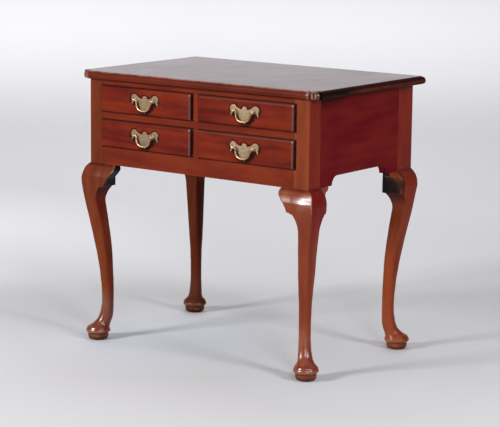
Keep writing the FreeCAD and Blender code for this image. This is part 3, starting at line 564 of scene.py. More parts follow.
@dataclass(frozen=True)
class WoodFinish:
    """A kind of wood with its polish."""

    name: str
    light: Colour
    dark: Colour
    bare: Colour = (0.42, 0.14, 0.055)
    figure: float = 1.0
    rings: float = 0.25
    pores: float = 0.22
    wear: float = 0.7
    rough_low: float = 0.30
    rough_high: float = 0.46
    specular: float = 0.2
    coat: float = 0.0
    coat_roughness: float = 0.16
    coat_ior: float = 1.5
    grain_depth: float = 0.00012
    by_lips: float = 0.0
    edges: float = 0.0
    # How glossy the lips' rims are. Above 0 the wood is taken to be a drawer front.
    lip_coat: float = 0.0
    # Painted shade: what the colour of a face turned from the front is multiplied by.
    unfaded: ClassVar[Colour] = (0.85, 0.26, 0.48)
    # What the lips' rims tend to, a painted greyish reflection; their corners, a painted
    # highlight; and their right-hand sides, a painted shadow.
    rim: ClassVar[Colour] = (0.085, 0.062, 0.052)
    corner: ClassVar[Colour] = (0.38, 0.32, 0.28)
    lip_side: ClassVar[Colour] = (0.012, 0.005, 0.006)
    edge_radius: ClassVar[float] = 0.0016

    def darker(self, word: str, share: float) -> "WoodFinish":
        """The same wood made lighter or darker as a whole, as painted light and shade."""
        return replace(self, name=f"{self.name}_{word}", specular=share * self.specular,
                       light=tuple(share * v for v in self.light),
                       dark=tuple(share * v for v in self.dark))

    def colour(self, n: Nodes, where: Wire, figure: Wire) -> Wire:
        """The wood's colour with its painted shade and light, its dirt, and rubbed edges.

        Args:
            n: the material's nodes.
            where: Object coordinates.
            figure: the colour of the wood's figure.

        Returns:
            The colour.
        """
        # Painted shade, darker and redder, on faces turned from the front.
        tinted = n.mix(n.mark("unfaded"), figure, self.unfaded, "MULTIPLY")
        if self.lip_coat:
            # The lips: painted reflection on the rims, painted corner highlights, painted
            # shadow on the right.
            lip = n.group("lip_edge", Vector=where)
            tinted = n.mix(lip["Mask"] * 0.6, tinted, self.rim)
            tinted = n.mix(lip["Corner"], tinted, self.corner)
            tinted = n.mix(lip["Side"] * 0.85, tinted, self.lip_side)
        dirtied_and_shaded = n.group("grime", Vector=where, Color=tinted, Lips=self.by_lips,
                        Pulls=1.0 if self.lip_coat else 0.0)
        worn = n.group("edge_wear", Vector=where, Color=dirtied_and_shaded, Bare=self.bare,
                       Amount=self.wear)
        if self.edges:
            sharp = n.group("sharp_edge", Radius=self.edge_radius)
            worn.fill({"Edges": sharp * self.edges})
        return worn

    def material(self, facing: Facing, seed: int) -> bpy.types.Material:
        """The finish on a board.

        Args:
            facing: the way that the grain runs.
            seed: picks the part of the figure that this board shows.

        Returns:
            The material, made once for each way and seed.
        """
        name = f"{self.name}_{facing.name.lower()}_{seed}"
        if name in bpy.data.materials:
            return bpy.data.materials[name]
        material, n, shader = blank_material(name)
        shift = np.random.default_rng(seed + 11).uniform(-3, 3, 3).tolist()
        where = n.add("ShaderNodeTexCoord")["Object"]
        board = n.add("ShaderNodeMapping", {"Vector": where, "Location": shift,
                                            "Rotation": facing.value})
        figure = n.group("wood_figure", Vector=board, Light=self.light, Dark=self.dark,
                         Figure=self.figure, Rings=self.rings, Pores=self.pores)
        polish = n.group("old_polish", Vector=where, Low=self.rough_low, High=self.rough_high)
        bump = n.add("ShaderNodeBump", {"Height": figure["Height"], "Strength": 0.5,
                                        "Distance": self.grain_depth})
        shader.fill({"Base Color": self.colour(n, where, figure["Color"]),
                     "Roughness": polish["Roughness"], "Normal": bump,
                     "Specular IOR Level": self.specular})
        if self.lip_coat:
            rubbed = n.group("lip_edge", Vector=where)["Mask"]
            shader.fill({"Coat Weight": rubbed * self.lip_coat,
                         "Coat Roughness": self.coat_roughness})
        if self.coat:
            cloudy = polish["Haze"].pick(self.coat, 0.85 * self.coat)
            shader.fill({"Coat Weight": n.mark("gloss") * cloudy,
                         "Coat Roughness": self.coat_roughness, "Coat IOR": self.coat_ior})
        return material


@dataclass(frozen=True)
class MetalFinish:
    """Brass or iron with a patina in its hollows and rubbed high spots."""

    name: str
    clean: Colour
    patina: Colour
    cover: float = 0.5
    rough_low: float = 0.28
    rough_high: float = 0.55
    # Painted light and shade: what the colour is multiplied by on the left-hand and the
    # right-hand drawers.
    sides: tuple[float, float] = (1.0, 1.0)

    def material(self) -> bpy.types.Material:
        """The finish as a material, made once."""
        if self.name in bpy.data.materials:
            return bpy.data.materials[self.name]
        material, n, shader = blank_material(self.name)
        where = n.add("ShaderNodeTexCoord")["Object"]
        tone = n.noise(where, 140.0, 5.0, 0.65) * 0.75 + n.noise(where, 900.0) * 0.25
        dull = tone.ramp(0.62 - 0.5 * self.cover, 0.86 - 0.5 * self.cover)
        worn = n.group("edge_wear", Vector=where, Bare=self.clean, Amount=0.9,
                       Color=n.mix(dull, self.clean, self.patina))
        # Painted light and shade, different on the left-hand and right-hand drawers.
        share = (n.axes(where)[0] > 0.0).pick(*self.sides)
        bump = n.add("ShaderNodeBump", {"Height": tone, "Strength": 0.35,
                                        "Distance": 0.0002})
        shader.fill({"Base Color": n.mix(1.0, worn, share, "MULTIPLY"), "Metallic": 1.0,
                     "Roughness": dull.pick(self.rough_low, self.rough_high),
                     "Normal": bump})
        return material


CASE = WoodFinish("case_wood", (0.184, 0.0265, 0.009), (0.118, 0.0133, 0.006), by_lips=1.0,
                  edges=0.7, specular=0.06)
LEG = WoodFinish("leg_wood", (0.222, 0.044, 0.0115), (0.150, 0.0245, 0.0075), by_lips=1.0,
                 bare=(0.40, 0.24, 0.15), rough_low=0.3, rough_high=0.42, specular=0.1,
                 coat=1.0, coat_roughness=0.26, coat_ior=1.7)
# Painted shade: the sides' wood is the case's wood made darker and redder.
SIDE_IN_SHADE = WoodFinish("side_wood", (0.15, 0.0085, 0.0075), (0.105, 0.0025, 0.006), specular=0.04,
                  edges=0.5, figure=1.4)
FRONT = WoodFinish("front_wood", (0.19, 0.0215, 0.0065), (0.09, 0.0075, 0.005), edges=0.8,
                   specular=0.06, figure=1.1, lip_coat=1.0, coat_roughness=0.2)
TOP = WoodFinish("top_wood", (0.145, 0.020, 0.008), (0.075, 0.009, 0.005),
                 bare=(0.42, 0.27, 0.19), rough_low=0.34, rough_high=0.5, specular=0.05,
                 coat=1.0, coat_roughness=0.12, grain_depth=0.00002, figure=0.8)
INNER = WoodFinish("inner_wood", (0.36, 0.22, 0.11), (0.22, 0.12, 0.055),
                   bare=(0.40, 0.28, 0.16), rough_low=0.55, rough_high=0.75, rings=0.55,
                   pores=0.2, grain_depth=0.0003, specular=0.25)
PLATE_BRASS = MetalFinish("old_plate", (0.40, 0.29, 0.185), (0.275, 0.198, 0.125), 0.6,
                          0.44, 0.60, (0.80, 1.0))
BAIL_BRASS = MetalFinish("old_bail", (0.55, 0.365, 0.20), (0.325, 0.205, 0.105), 0.35, 0.32,
                         0.47, (1.05, 0.80))
BOLT_BRASS = MetalFinish("old_bolt", (0.72, 0.53, 0.37), (0.45, 0.31, 0.21), 0.35, 0.28,
                         0.42)
IRON = MetalFinish("screw_iron", (0.30, 0.29, 0.28), (0.09, 0.06, 0.045), 0.6, 0.45, 0.75)


# ---- case
@dataclass(frozen=True)
class Case:
    """The main sizes of the case that the new pieces are fitted to."""

    side: float = 0.354
    front: float = -0.231
    back: float = 0.241
    bottom: float = 0.484
    top: float = 0.7085
    post_width: float = 0.0455
    front_post_depth: float = 0.048
    blank: float = 0.067


CASE_SIZE = Case()


# ---- legs
@dataclass
class Leg:
    """One cabriole leg with its post: sections of a rounded square carried up it."""

    side: int
    front: bool
    inset_side: float = 0.0106
    inset_front: float = 0.016
    cusp_height: float = 0.422
    # Height in metres, then how far the shaft reaches out in mm from the foot's middle.
    reach_out: Table = (
        (0.0346, 29.6), (0.041, 25.2), (0.058, 11.1), (0.076, 2.8), (0.101, -1.8),
        (0.132, -2.5), (0.182, -1.8), (0.227, 2.7), (0.273, 9.0), (0.325, 15.8),
        (0.360, 21.8), (0.384, 25.9), (0.401, 28.3), (0.412, 29.7), (0.422, 30.9),
        (0.432, 32.1), (0.441, 33.1))
    # The same inwards, up to the cusp.
    reach_in: Table = (
        (0.0346, 30.3), (0.041, 29.6), (0.058, 30.9), (0.076, 31.9), (0.101, 31.8),
        (0.132, 31.9), (0.182, 29.6), (0.227, 28.4), (0.273, 25.8), (0.325, 22.0),
        (0.360, 17.6), (0.384, 15.0), (0.401, 18.6), (0.412, 23.4), (0.418, 27.2),
        (0.422, 29.6))
    # How far below the case in mm, and the share of the knee's full reach, for the
    # side of the knee and for its front.
    knee: Table = (
        (0, 0.08, 0.02), (3, 0.24, 0.14), (8, 0.47, 0.32), (13, 0.65, 0.475),
        (17.5, 0.76, 0.615), (22, 0.845, 0.736), (26, 0.90, 0.829), (30, 0.943, 0.903),
        (34, 0.968, 0.963), (39, 0.985, 0.99), (43, 0.995, 0.998))
    # How far below the case, and how far a front knee's crest is set back there, in mm.
    tuck: Table = (
        (-300, 0), (0, 0), (10, 0.4), (18, 1.6), (25, 2.5), (34, 2.5), (43, 1.6),
        (60, 0.5), (80, 0), (500, 0))
    # Height in metres, then how many mm fuller the section is there than its reaches
    # make it: towards the crest, towards the inner corner, and to either side.
    girth: Table = (
        (0.0, 0, 0, 0), (0.0335, 0, 0, 0), (0.037, -3.2, 1.0, -1.9),
        (0.041, -6.4, 1.8, -3.9), (0.046, -7.6, 2.2, -4.7), (0.052, -7.2, 2.9, -4.0),
        (0.060, -5.7, 3.4, -2.5), (0.068, -3.8, 3.4, -1.5), (0.076, -2.5, 3.3, -0.7),
        (0.090, -1.0, 3.2, 0.2), (0.110, -0.8, 3.1, 0.5), (0.130, -0.2, 3.0, 0.6),
        (0.150, 0.6, 3.5, 0.9), (0.170, 1.5, 4.0, 1.4), (0.190, 2.2, 3.9, 1.6),
        (0.205, 2.2, 3.5, 1.6), (0.230, 1.4, 3.1, 1.0), (0.260, 0.9, 2.7, 0.6),
        (0.290, 1.1, 1.6, 0.3), (0.320, 2.0, 0.4, 0.1), (0.350, 1.6, 0.8, 0.2),
        (0.385, 0.6, 1.4, 0.6), (0.405, 0.1, 0.6, 0.3), (0.422, 0, 0, 0), (0.73, 0, 0, 0))
    # Radius and height in mm round the turned pad, from its flat bottom to its rim.
    pad: Table = (
        (17.0, 0.0), (20.6, 0.5), (23.8, 2.2), (26.1, 5.2), (27.4, 9.0), (27.7, 13.0),
        (27.3, 15.6), (26.7, 17.2), (26.9, 18.6), (28.6, 19.8), (31.2, 20.8),
        (32.5, 22.6), (32.9, 25.0), (32.5, 27.6), (31.4, 30.0), (30.9, 30.6))
    # Height in metres, then in mm: the radius of the crest's corner, the radius of the
    # other corners, and how far the flats bow out.
    crest_radius: Table = (
        (0.05, 40), (0.11, 30), (0.16, 13), (0.25, 9), (0.38, 5.5), (0.405, 4.2),
        (0.43, 2.4), (0.46, 1.3), (0.484, 1.0), (0.4841, 0.6))
    other_radius: Table = (
        (0.05, 40), (0.11, 30), (0.16, 13), (0.25, 9), (0.38, 5.5), (0.421, 3.5),
        (0.4221, 0.8), (0.4841, 0.7))
    crown: Table = ((0.12, 0), (0.2, 0.7), (0.4, 1.3), (0.44, 1.2), (0.47, 0.7), (0.484, 0))
    corner_steps: int = 10
    flat_steps: int = 7
    # How much each leg's wood is lightened or darkened, as painted light and shade.
    light_and_shade_tones: ClassVar[dict[str, float]] = {"front_right": 1.10, "front_left": 0.79,
                                         "rear_right": 1.12, "rear_left": 0.47}
    # How far each leg is still polished: above the knee, on it, and on the foot.
    polish: ClassVar[dict[str, Place]] = {
        "front_right": (0.1, 1.0, 1.0), "front_left": (0.045, 0.11, 1.0),
        "rear_right": (0.015, 0.08, 0.15), "rear_left": (0.015, 0.08, 0.15)}

    @property
    def word(self) -> str:
        """Where the leg stands."""
        return f"{'front' if self.front else 'rear'}_{'right' if self.side > 0 else 'left'}"

    def insets(self) -> Array:
        """How far the foot's middle lies in from the case's side and front or back."""
        return np.array([self.inset_side,
                         self.inset_front if self.front else CASE_SIZE.blank / 2])

    def inner(self) -> Array:
        """How far the post reaches in from the foot's middle along X and Y."""
        depth = CASE_SIZE.front_post_depth if self.front else CASE_SIZE.blank
        return np.array([CASE_SIZE.post_width, depth]) - self.insets()

    def reach(self, heights: Array) -> Array:
        """How far shaft and knee reach out along X and Y at some heights, shape (n, 2)."""
        last = self.reach_out[-1][0]
        shaft = smooth_through(np.minimum(heights, last), self.reach_out) * MM
        shares = smooth_through((CASE_SIZE.bottom - heights) / MM, self.knee)
        knee = self.insets() + shares * (CASE_SIZE.blank / 2 - self.insets())
        return np.where(heights[:, None] < last, shaft, knee)

    def ring(self, heights: Array, out: Array, inward: Array) -> Array:
        """Sections of a rounded square, one for each height.

        Each corner is an arc. The flats between them bow out by a crown that follows
        one minus the square of the place along the flat. At the knee, each outer face
        also falls back towards the crest by the tuck times the square of that place. Last,
        the section is made fuller or leaner along its two diagonals.

        Args:
            heights: shape (n,).
            out: reach outwards along X and Y, shape (n, 2).
            inward: reach inwards along X and Y, shape (n, 2).

        Returns:
            Points of shape (n, columns, 3).
        """
        crest, others, crown = (straight_through(heights, table) * MM for table in (
            self.crest_radius, self.other_radius, self.crown))
        smallest = (out + inward).min(1) / 2
        corners = []
        for sx, sy in ((1, 1), (-1, 1), (-1, -1), (1, -1)):
            reach = np.where([sx > 0, sy > 0], out, inward)
            radius = np.minimum(crest if sx + sy > 0 else others, smallest * 0.999)[:, None]
            turn = np.arctan2(sy, sx) - np.pi / 4 + np.linspace(0, np.pi / 2,
                                                               self.corner_steps)
            centre = (sx, sy) * (reach - radius)
            corners.append(np.stack([centre[:, :1] + radius * np.cos(turn),
                                     centre[:, 1:] + radius * np.sin(turn)], -1))
        t = np.linspace(0, 1, self.flat_steps + 2)[1:-1]
        bow = crown[:, None] * (1 - (2 * t - 1) ** 2)
        columns = []
        for corner, after in zip(corners, corners[1:] + corners[:1]):
            run = corner[:, -1:, :] * (1 - t)[:, None] + after[:, :1, :] * t[:, None]
            way = after[:, 0] - corner[:, -1]
            normal = np.stack([way[:, 1], -way[:, 0]], -1)
            normal /= np.maximum(np.linalg.norm(normal, axis=1, keepdims=True), 1e-9)
            columns += [corner, run + normal[:, None, :] * bow[..., None]]
        flat = np.concatenate(columns, axis=1)
        share = np.clip((flat + inward[:, None]) / (out + inward)[:, None], 0, 1)
        tuck = smooth_through((CASE_SIZE.bottom - heights) / MM, self.tuck)
        flat = flat - self.front * MM * tuck[..., None] * share * share[..., ::-1] ** 2
        crest, corner, sides = (smooth_through(heights, self.girth) * MM).T[..., None]
        middle = (out - inward)[:, None] / 2
        lean = flat - middle
        along = (lean[..., 0] + lean[..., 1]) / 2
        beside = (lean[..., 0] - lean[..., 1]) / 2
        along = along * (1 + np.where(
            along > 0, crest / along.max(1, keepdims=True),
            -corner / along.min(1, keepdims=True)) / np.sqrt(2))
        beside = beside * (1 + sides / beside.max(1, keepdims=True) / np.sqrt(2))
        flat = middle + np.stack([along + beside, along - beside], -1)
        inset_x, inset_y = self.insets()
        x = self.side * (CASE_SIZE.side - inset_x + flat[..., 0])
        y = (CASE_SIZE.front + inset_y - flat[..., 1] if self.front
             else CASE_SIZE.back - inset_y + flat[..., 1])
        return points_from(x, y, heights[:, None])

    def build(self) -> None:
        """The pad, the shaft, the knee and the post as one skin."""
        pad = np.array(self.pad) * MM
        shaft_z = np.linspace(self.reach_out[0][0], self.cusp_height, 150)
        knee_z = np.linspace(self.cusp_height, CASE_SIZE.bottom, 50)
        post_z = np.array([CASE_SIZE.bottom, CASE_SIZE.bottom + 0.0006,
                           CASE_SIZE.top - 0.0002, CASE_SIZE.top])
        heights = np.concatenate([pad[:, 1], shaft_z, knee_z, post_z])
        turned = np.repeat(pad[:, :1], 2, 1)
        shaft_in = np.repeat(smooth_through(shaft_z, self.reach_in) * MM, 2, 1)
        out = np.vstack([turned, self.reach(np.concatenate([shaft_z, knee_z])),
                         np.tile(self.insets(), (len(post_z), 1))])
        inward = np.vstack([turned, shaft_in,
                            np.tile(self.inner(), (len(knee_z) + len(post_z), 1))])
        points = self.ring(heights, out, inward)
        # Shaped by hand: up to 0.2 mm fuller or leaner below the case.
        uneven = ripple(points, 14, 3 + self.side + 2 * self.front)
        strength = np.where(heights < CASE_SIZE.bottom - 0.02, 0.2 * MM, 0.0)[:, None]
        lean = (points - points.mean(1, keepdims=True))[..., :2] / 0.03
        points[..., :2] += lean * (uneven * strength)[..., None]
        made = new_skin(f"leg_{self.word}_shaped", points, 30,
                        wear=self.wear(points.shape[1], heights))
        self.mark_facing(made)
        finish_piece(made, "case", "case_wood", self.material(), f"leg_{self.word}")

    def material(self) -> bpy.types.Material:
        """The leg's wood, with each leg's painted light and shade, darkest at the back on the
        left.
        """
        wood = LEG.darker(self.word, self.light_and_shade_tones[self.word])
        return wood.material(Facing.ALONG_Z, 20 + 2 * self.side + self.front)

    def wear(self, columns: int, heights: Array) -> Array:
        """Wear and painted sheen on the knee's crest and the foot's rim; wear on the disc
        below it.
        """
        near = bell(np.arange(columns), self.corner_steps / 2 - 0.5, 2.5)
        band = blend_between(heights, 0.40, 0.45) * (1 - blend_between(heights, 0.479, 0.484))
        foot = 0.5 * bell(heights, 0.025, 0.004) + 0.5 * bell(heights, 0.0125, 0.0028)
        return np.clip(band[:, None] * near + foot[:, None], 0, 1)

    def mark_facing(self, made: bpy.types.Object, deep: float = 1.0) -> None:
        """Mark the leg's or block's painted side shade, where it shines, and its dark places.

        Faces turned from the front get a painted shade. The knees' inner faces, which look
        towards the middle of the case from under it, are painted nearly black, as shade.

        Args:
            made: the leg or block.
            deep: how much of the painted side shade the piece has on its sides.
        """
        places, normals = read_vertices(made.data)
        height, out = places[:, 2], np.abs(places[:, 0])
        on_post = height > CASE_SIZE.bottom
        turned = 1 - blend_between(-normals[:, 1], 0.1, 0.8)
        # The painted side shade is weaker towards the floor, and on the rear legs.
        low = 0.35 + 0.65 * blend_between(height, 0.3, 0.44)
        low *= 1.0 if self.front else 0.72
        write_mark(made.data, "unfaded", deep * turned * np.where(on_post, 0.8, low))
        # Painted shade inside the knees and where the knee meets the case; a dark seam at the
        # rear; a little on the posts; and the foot's disc made darker.
        to_middle = normals[:, 1] if self.front else -normals[:, 1]
        inward = np.maximum(-self.side * normals[:, 0], to_middle)
        under = blend_between(height, 0.385, 0.43) * (height < CASE_SIZE.bottom + 0.0004)
        corner = (0.6 - 0.35 * turned) * blend_between(height, 0.4745, 0.4835) * ~on_post
        seam = bell(places[:, 1], CASE_SIZE.back - CASE_SIZE.blank, 0.0018) * under
        corner = np.maximum(corner, 0.8 * seam * (not self.front)) + 0.08 * on_post
        disc = 0.45 * (1 - blend_between(height, 0.014, 0.019))
        write_mark(made.data, "grime", np.maximum(
            blend_between(inward, 0.35, 0.7) * under, np.maximum(corner, disc)))
        # Polish: on the knee, less at its outermost line, and on the foot above its rim.
        knee = blend_between(height, 0.425, 0.445) - blend_between(height, 0.468, 0.480)
        knee *= 0.2 + 0.8 * blend_between(out, 0.328, 0.345)
        knee *= 1 - 0.6 * blend_between(out, 0.348, 0.356)
        foot = 1 - blend_between(height, 0.09, 0.15)
        foot *= blend_between(height, 0.018, 0.022)
        shaft_share, knee_share, foot_share = self.polish[self.word]
        gloss = shaft_share * ~on_post + knee_share * knee + foot_share * foot
        turned *= 0.85 - 0.25 * foot
        write_mark(made.data, "gloss", np.clip(gloss * (1 - turned), 0.0, 1.0))


@dataclass
class KneeBlock:
    """A scrolled bracket beside a knee, that carries the knee's swell on and out."""

    name: str
    corner: tuple[float, float]
    along: tuple[int, int]
    inward: tuple[int, int]
    leg: Leg
    at_front: bool
    depth: float = 0.020
    # How far below the case, and how long a front block is there, in mm.
    front_outline: Table = (
        (0, 38.2), (4.3, 39.9), (8, 41.0), (11.1, 41.2), (15.5, 40.0), (20.7, 35.8),
        (28, 29.2), (36.5, 21.5), (44.3, 16.6), (52.3, 13.2), (57.4, 11.6), (58.4, 10.4),
        (59, 5.0), (62, 0.4))
    side_outline: Table = (
        (0, 38.8), (3, 38.8), (9, 37.0), (11.5, 32.5), (13.5, 28.5), (19, 22.5),
        (27, 17.6), (35, 14.6), (42, 12.9), (49, 11.9), (57.4, 10.2), (58.4, 9.4),
        (59, 4.8), (62, 0.4))
    # How far below the case, and how far out a side block's swell has died away.
    side_fade: Table = ((0, 39), (9, 37.5), (13.5, 30), (19, 25.5), (27, 27), (39, 31),
                        (55, 39), (62, 42))
    least_swell: float = 0.0008
    steps: int = 16

    def build(self) -> None:
        """Level sections of the block, from under the case down to its tip."""
        outline = np.array(self.front_outline if self.at_front else self.side_outline)
        drops = np.unique(np.concatenate([np.linspace(0, 57.4, 48), outline[:, 0],
                                          np.linspace(59, 62, 5)]))
        length = smooth_through(drops, outline) * MM
        heights = CASE_SIZE.bottom - drops * MM
        swell = (self.leg.reach(heights) - self.leg.insets())[:, [int(self.at_front)]]
        swell -= 0.0004
        u = length * np.linspace(0, 1, self.steps)
        if self.at_front:
            ahead = np.broadcast_to(swell, u.shape)
        else:
            gone = straight_through(drops, self.side_fade)[:, None] * MM
            left = np.clip(1 - u / gone, 0, 1)
            ahead = self.least_swell + (swell - self.least_swell) * left ** 1.15
        ahead = ahead - 0.0011 * np.clip((u - (length - 0.0025)) / 0.0025, 0, 1) ** 2
        end = np.stack([np.broadcast_to(length, (len(drops), 4)),
                        np.linspace(-ahead[:, -1] + 0.0006, self.depth, 4).T], -1)
        back = np.stack([u[:, ::-1], np.full(u.shape, self.depth)], -1)
        flat = np.concatenate([np.stack([u, -ahead], -1), end, back], axis=1)
        x, y = (self.corner[i] + self.along[i] * flat[..., 0] + self.inward[i] * flat[..., 1]
                for i in (0, 1))
        worn = np.zeros(flat.shape[:2])
        # Painted sheen: the outer faces of the front legs' side blocks are paled with the bare
        # colour.
        worn[:, :self.steps] = 0.35 if self.leg.front and not self.at_front else 0.0
        worn[:, self.steps - 2:self.steps + 1] = 0.4 if self.leg.front else 0.06
        made = new_skin(self.name + "_shaped", points_from(x, y, heights[:, None]), 38,
                        wear=worn)
        self.leg.mark_facing(made, 1.0 if self.at_front else 0.5)
        finish_piece(made, "case", "case_wood", self.leg.material(), self.name)


def build_legs() -> None:
    """The four legs and the six blocks beside their knees."""
    inner_x = CASE_SIZE.side - CASE_SIZE.post_width
    for side, word in ((-1, "left"), (1, "right")):
        front, rear = Leg(side, True), Leg(side, False)
        front.build()
        rear.build()
        KneeBlock(f"knee_block_front_{word}", (side * inner_x, CASE_SIZE.front), (-side, 0),
                  (0, 1), front, True).build()
        for leg, ends, y, way in (
                (front, "front", CASE_SIZE.front + CASE_SIZE.front_post_depth, 1),
                (rear, "rear", CASE_SIZE.back - CASE_SIZE.blank, -1)):
            KneeBlock(f"knee_block_side_{ends}_{word}", (side * CASE_SIZE.side, y), (0, way),
                      (-side, 0), leg, False).build()


# ---- top
@dataclass
class TopBoard:
    """One board of the top, with the moulding carried round its outer edges."""

    name: str
    front: bool
    half_width: float = 0.385
    near: float = -0.245
    joint: float = 0.017
    far: float = 0.254
    upper: float = 0.730
    notch: float = 0.026
    step: float = 0.005
    # How far in from the outermost line and how far down, in mm. The first and the last
    # point lie on the flat faces.
    moulding: Table = (
        (11.0, 0.0), (8.0, 0.0), (7.7, 0.12), (7.55, 0.5), (7.5, 1.5), (7.1, 1.9),
        (5.6, 2.1), (4.0, 2.9), (2.6, 4.2), (1.4, 6.0), (0.6, 8.2), (0.15, 10.6),
        (0.0, 12.9), (0.25, 15.2), (1.0, 17.3), (2.3, 19.1), (4.2, 20.5), (6.2, 21.3),
        (8.0, 21.5), (11.0, 21.5))
    moulding_width: float = 8.0
    # Bearings in degrees of painted highlights: bright streaks on a notched corner's swell.
    streaks: tuple[float, ...] = (16.0, 40.0, 62.0)
    # Distances in from the ends at which the marks beside the moulding's ends are kept.
    end_lines: tuple[float, ...] = (0.0015, 0.0037, 0.0058, 0.0080, 0.0105)

    def outline(self, inset: float) -> Array:
        """The board's plan at one inset from the outermost line.

        The front corners step in, swell round a quarter circle and step out again.
        The joint between the boards isn't inset.

        Args:
            inset: how far in the line lies.

        Returns:
            The closed outline, shape (columns, 2), as many points at each inset.
        """
        wide = self.half_width - inset
        ends = 1 - np.array(self.end_lines) / self.half_width
        run = np.unique(np.concatenate([np.linspace(-1, 1, 49), -ends, ends]))[:, None]

        def line(x: Array | float, y: Array | float) -> Array:
            """Points whose coordinates are columns or single numbers."""
            return np.hstack(np.broadcast_arrays(x, y))

        if not self.front:
            far = self.far - inset
            side = np.linspace(self.joint, far, 25)[:, None]
            return np.vstack([line(wide, side)[:-1], line(-run * wide, far)[:-1],
                              line(-wide, side[::-1])[:-1],
                              line(run * wide, self.joint)[:-1]])
        centre = self.notch_centre()
        radius = self.notch - self.step - inset
        open_angle = np.arcsin(min(inset / radius, 0.95))
        turn = np.linspace(-np.pi / 2 - open_angle, open_angle, 22)[:, None]
        arc = centre + radius * np.hstack([np.cos(turn), np.sin(turn)])
        near = self.near + inset
        start = np.array([[centre[0] - inset, near]])
        end = np.array([[wide, centre[1] - inset]])
        t = np.linspace(0, 1, 4)[:, None]
        corner = np.vstack([(start + t * (arc[:1] - start))[:-1], arc,
                            (arc[-1:] + t * (end - arc[-1:]))[1:]])
        right = line(wide, np.linspace(end[0, 1], self.joint, 22)[:, None])
        mirror = (-1, 1)
        return np.vstack([corner, right[1:-1], line(-run * wide, self.joint)[:-1],
                          (right[::-1] * mirror)[:-1], corner[::-1] * mirror,
                          line(run * start[0, 0], near)[1:-1]])

    def notch_centre(self) -> Array:
        """The middle of the quarter circle at the right front corner."""
        return np.array([self.half_width - self.notch, self.near + self.notch])

    def at_notch(self, points: Array) -> tuple[Array, Array]:
        """Where a point lies on the swell of a notched corner.

        Args:
            points: shape (..., 3).

        Returns:
            One on the swell and zero elsewhere, and the painted highlights on it and on the
            moulding's end beside it: bell curves round a few bearings, both shape (...).
        """
        if not self.front:
            return np.zeros(points.shape[:-1]), np.zeros(points.shape[:-1])
        centre = self.notch_centre()
        x, y = np.abs(points[..., 0]) - centre[0], points[..., 1] - centre[1]
        swell = (x > -0.002) & (y < 0.002) & (np.hypot(x, y) < self.notch - self.step + 0.0002)
        bearing = np.degrees(np.arctan2(x, -y))
        streaks = sum(bell(bearing, way, 6.0) for way in self.streaks)
        ending = (y < -0.0195) * np.exp(-((x + 0.0048) / 0.0035) ** 4)
        return 1.0 * swell, np.maximum(np.clip(streaks, 0, 1) * swell, 0.8 * ending)

    def build(self) -> None:
        """Rings of the moulding, closed by an upper and a lower face."""
        rings = []
        for inset, drop in self.moulding:
            plan = self.outline(min(inset, self.moulding_width) * MM)
            if inset > self.moulding_width:
                middle = np.array([0.0, plan[:, 1].mean()])
                further = (inset - self.moulding_width) * MM
                plan = middle + (plan - middle) * (1 - further / np.abs(plan - middle).max(0))
            rings.append(np.hstack([plan, np.full((len(plan), 1), self.upper - drop * MM)]))
        points = np.array(rings)
        insets, drops = np.array(self.moulding).T[..., None]
        below = drops > 1.0
        swell, streaks = self.at_notch(points)
        streaks = streaks * below
        beside = blend_between(self.half_width - np.abs(points[..., 0]), 0.0095, 0.0085)
        edge = bell(drops, 1.1, 1.2) * (insets < 8.5)
        at_joint = np.abs(points[..., 1] - self.joint) < 1e-6
        worn = np.where(at_joint, 0.25 * edge, edge + 0.02 * bell(drops, 12.5, 3.0))
        # The painted highlights of the notch are kept as pale wear and as gloss.
        worn = np.maximum(worn * (1 - beside), streaks)
        # Painted shade: the side moulding nearly black, less so on its belly towards the back;
        # the moulding's underside; and the notch's swell between its painted highlights.
        lit_belly = blend_between(points[..., 1], -0.13, -0.06) * bell(drops, 12.0, 4.0)
        dirt = beside * below * (1 - 0.85 * lit_belly)
        dirt = np.maximum(dirt, 0.35 * blend_between(drops, 18.0, 20.5))
        dirt = np.maximum(dirt, 0.85 * swell * below) * (1 - streaks)
        made = new_skin(self.name + "_moulded", points, 32, lid_gloss=1.0, wear=worn,
                        gloss=np.maximum(1.0 * (drops < 0.05), streaks), grime=dirt)
        bevel = made.modifiers.new("soft_edges", "BEVEL")
        bevel.width, bevel.segments = 0.5 * MM, 2
        bevel.limit_method, bevel.angle_limit = "ANGLE", np.radians(32)
        bevel.harden_normals = bevel.use_clamp_overlap = True
        finish_piece(made, "case", "top_wood",
                     TOP.material(Facing.ALONG_X, 5 if self.front else 6), self.name)


# ---- pulls
def arc_between(start: Array, middle: Array, end: Array, count: int) -> Array:
    """Points of the circle through three points, without the last one."""
    ax, ay = middle - start
    bx, by = end - start
    across = 2 * (ax * by - ay * bx)
    a2, b2 = ax * ax + ay * ay, bx * bx + by * by
    centre = start + np.array([by * a2 - ay * b2, ax * b2 - bx * a2]) / across
    angles = np.arctan2(*(np.array([start, middle, end]) - centre).T[::-1])
    first, half, last = np.unwrap(angles)
    if not min(first, last) <= half <= max(first, last):
        last += 2 * np.pi * (1 if last < first else -1)
    turn = np.linspace(first, last, count, endpoint=False)[:, None]
    return centre + np.hypot(*(start - centre)) * np.hstack([np.cos(turn), np.sin(turn)])


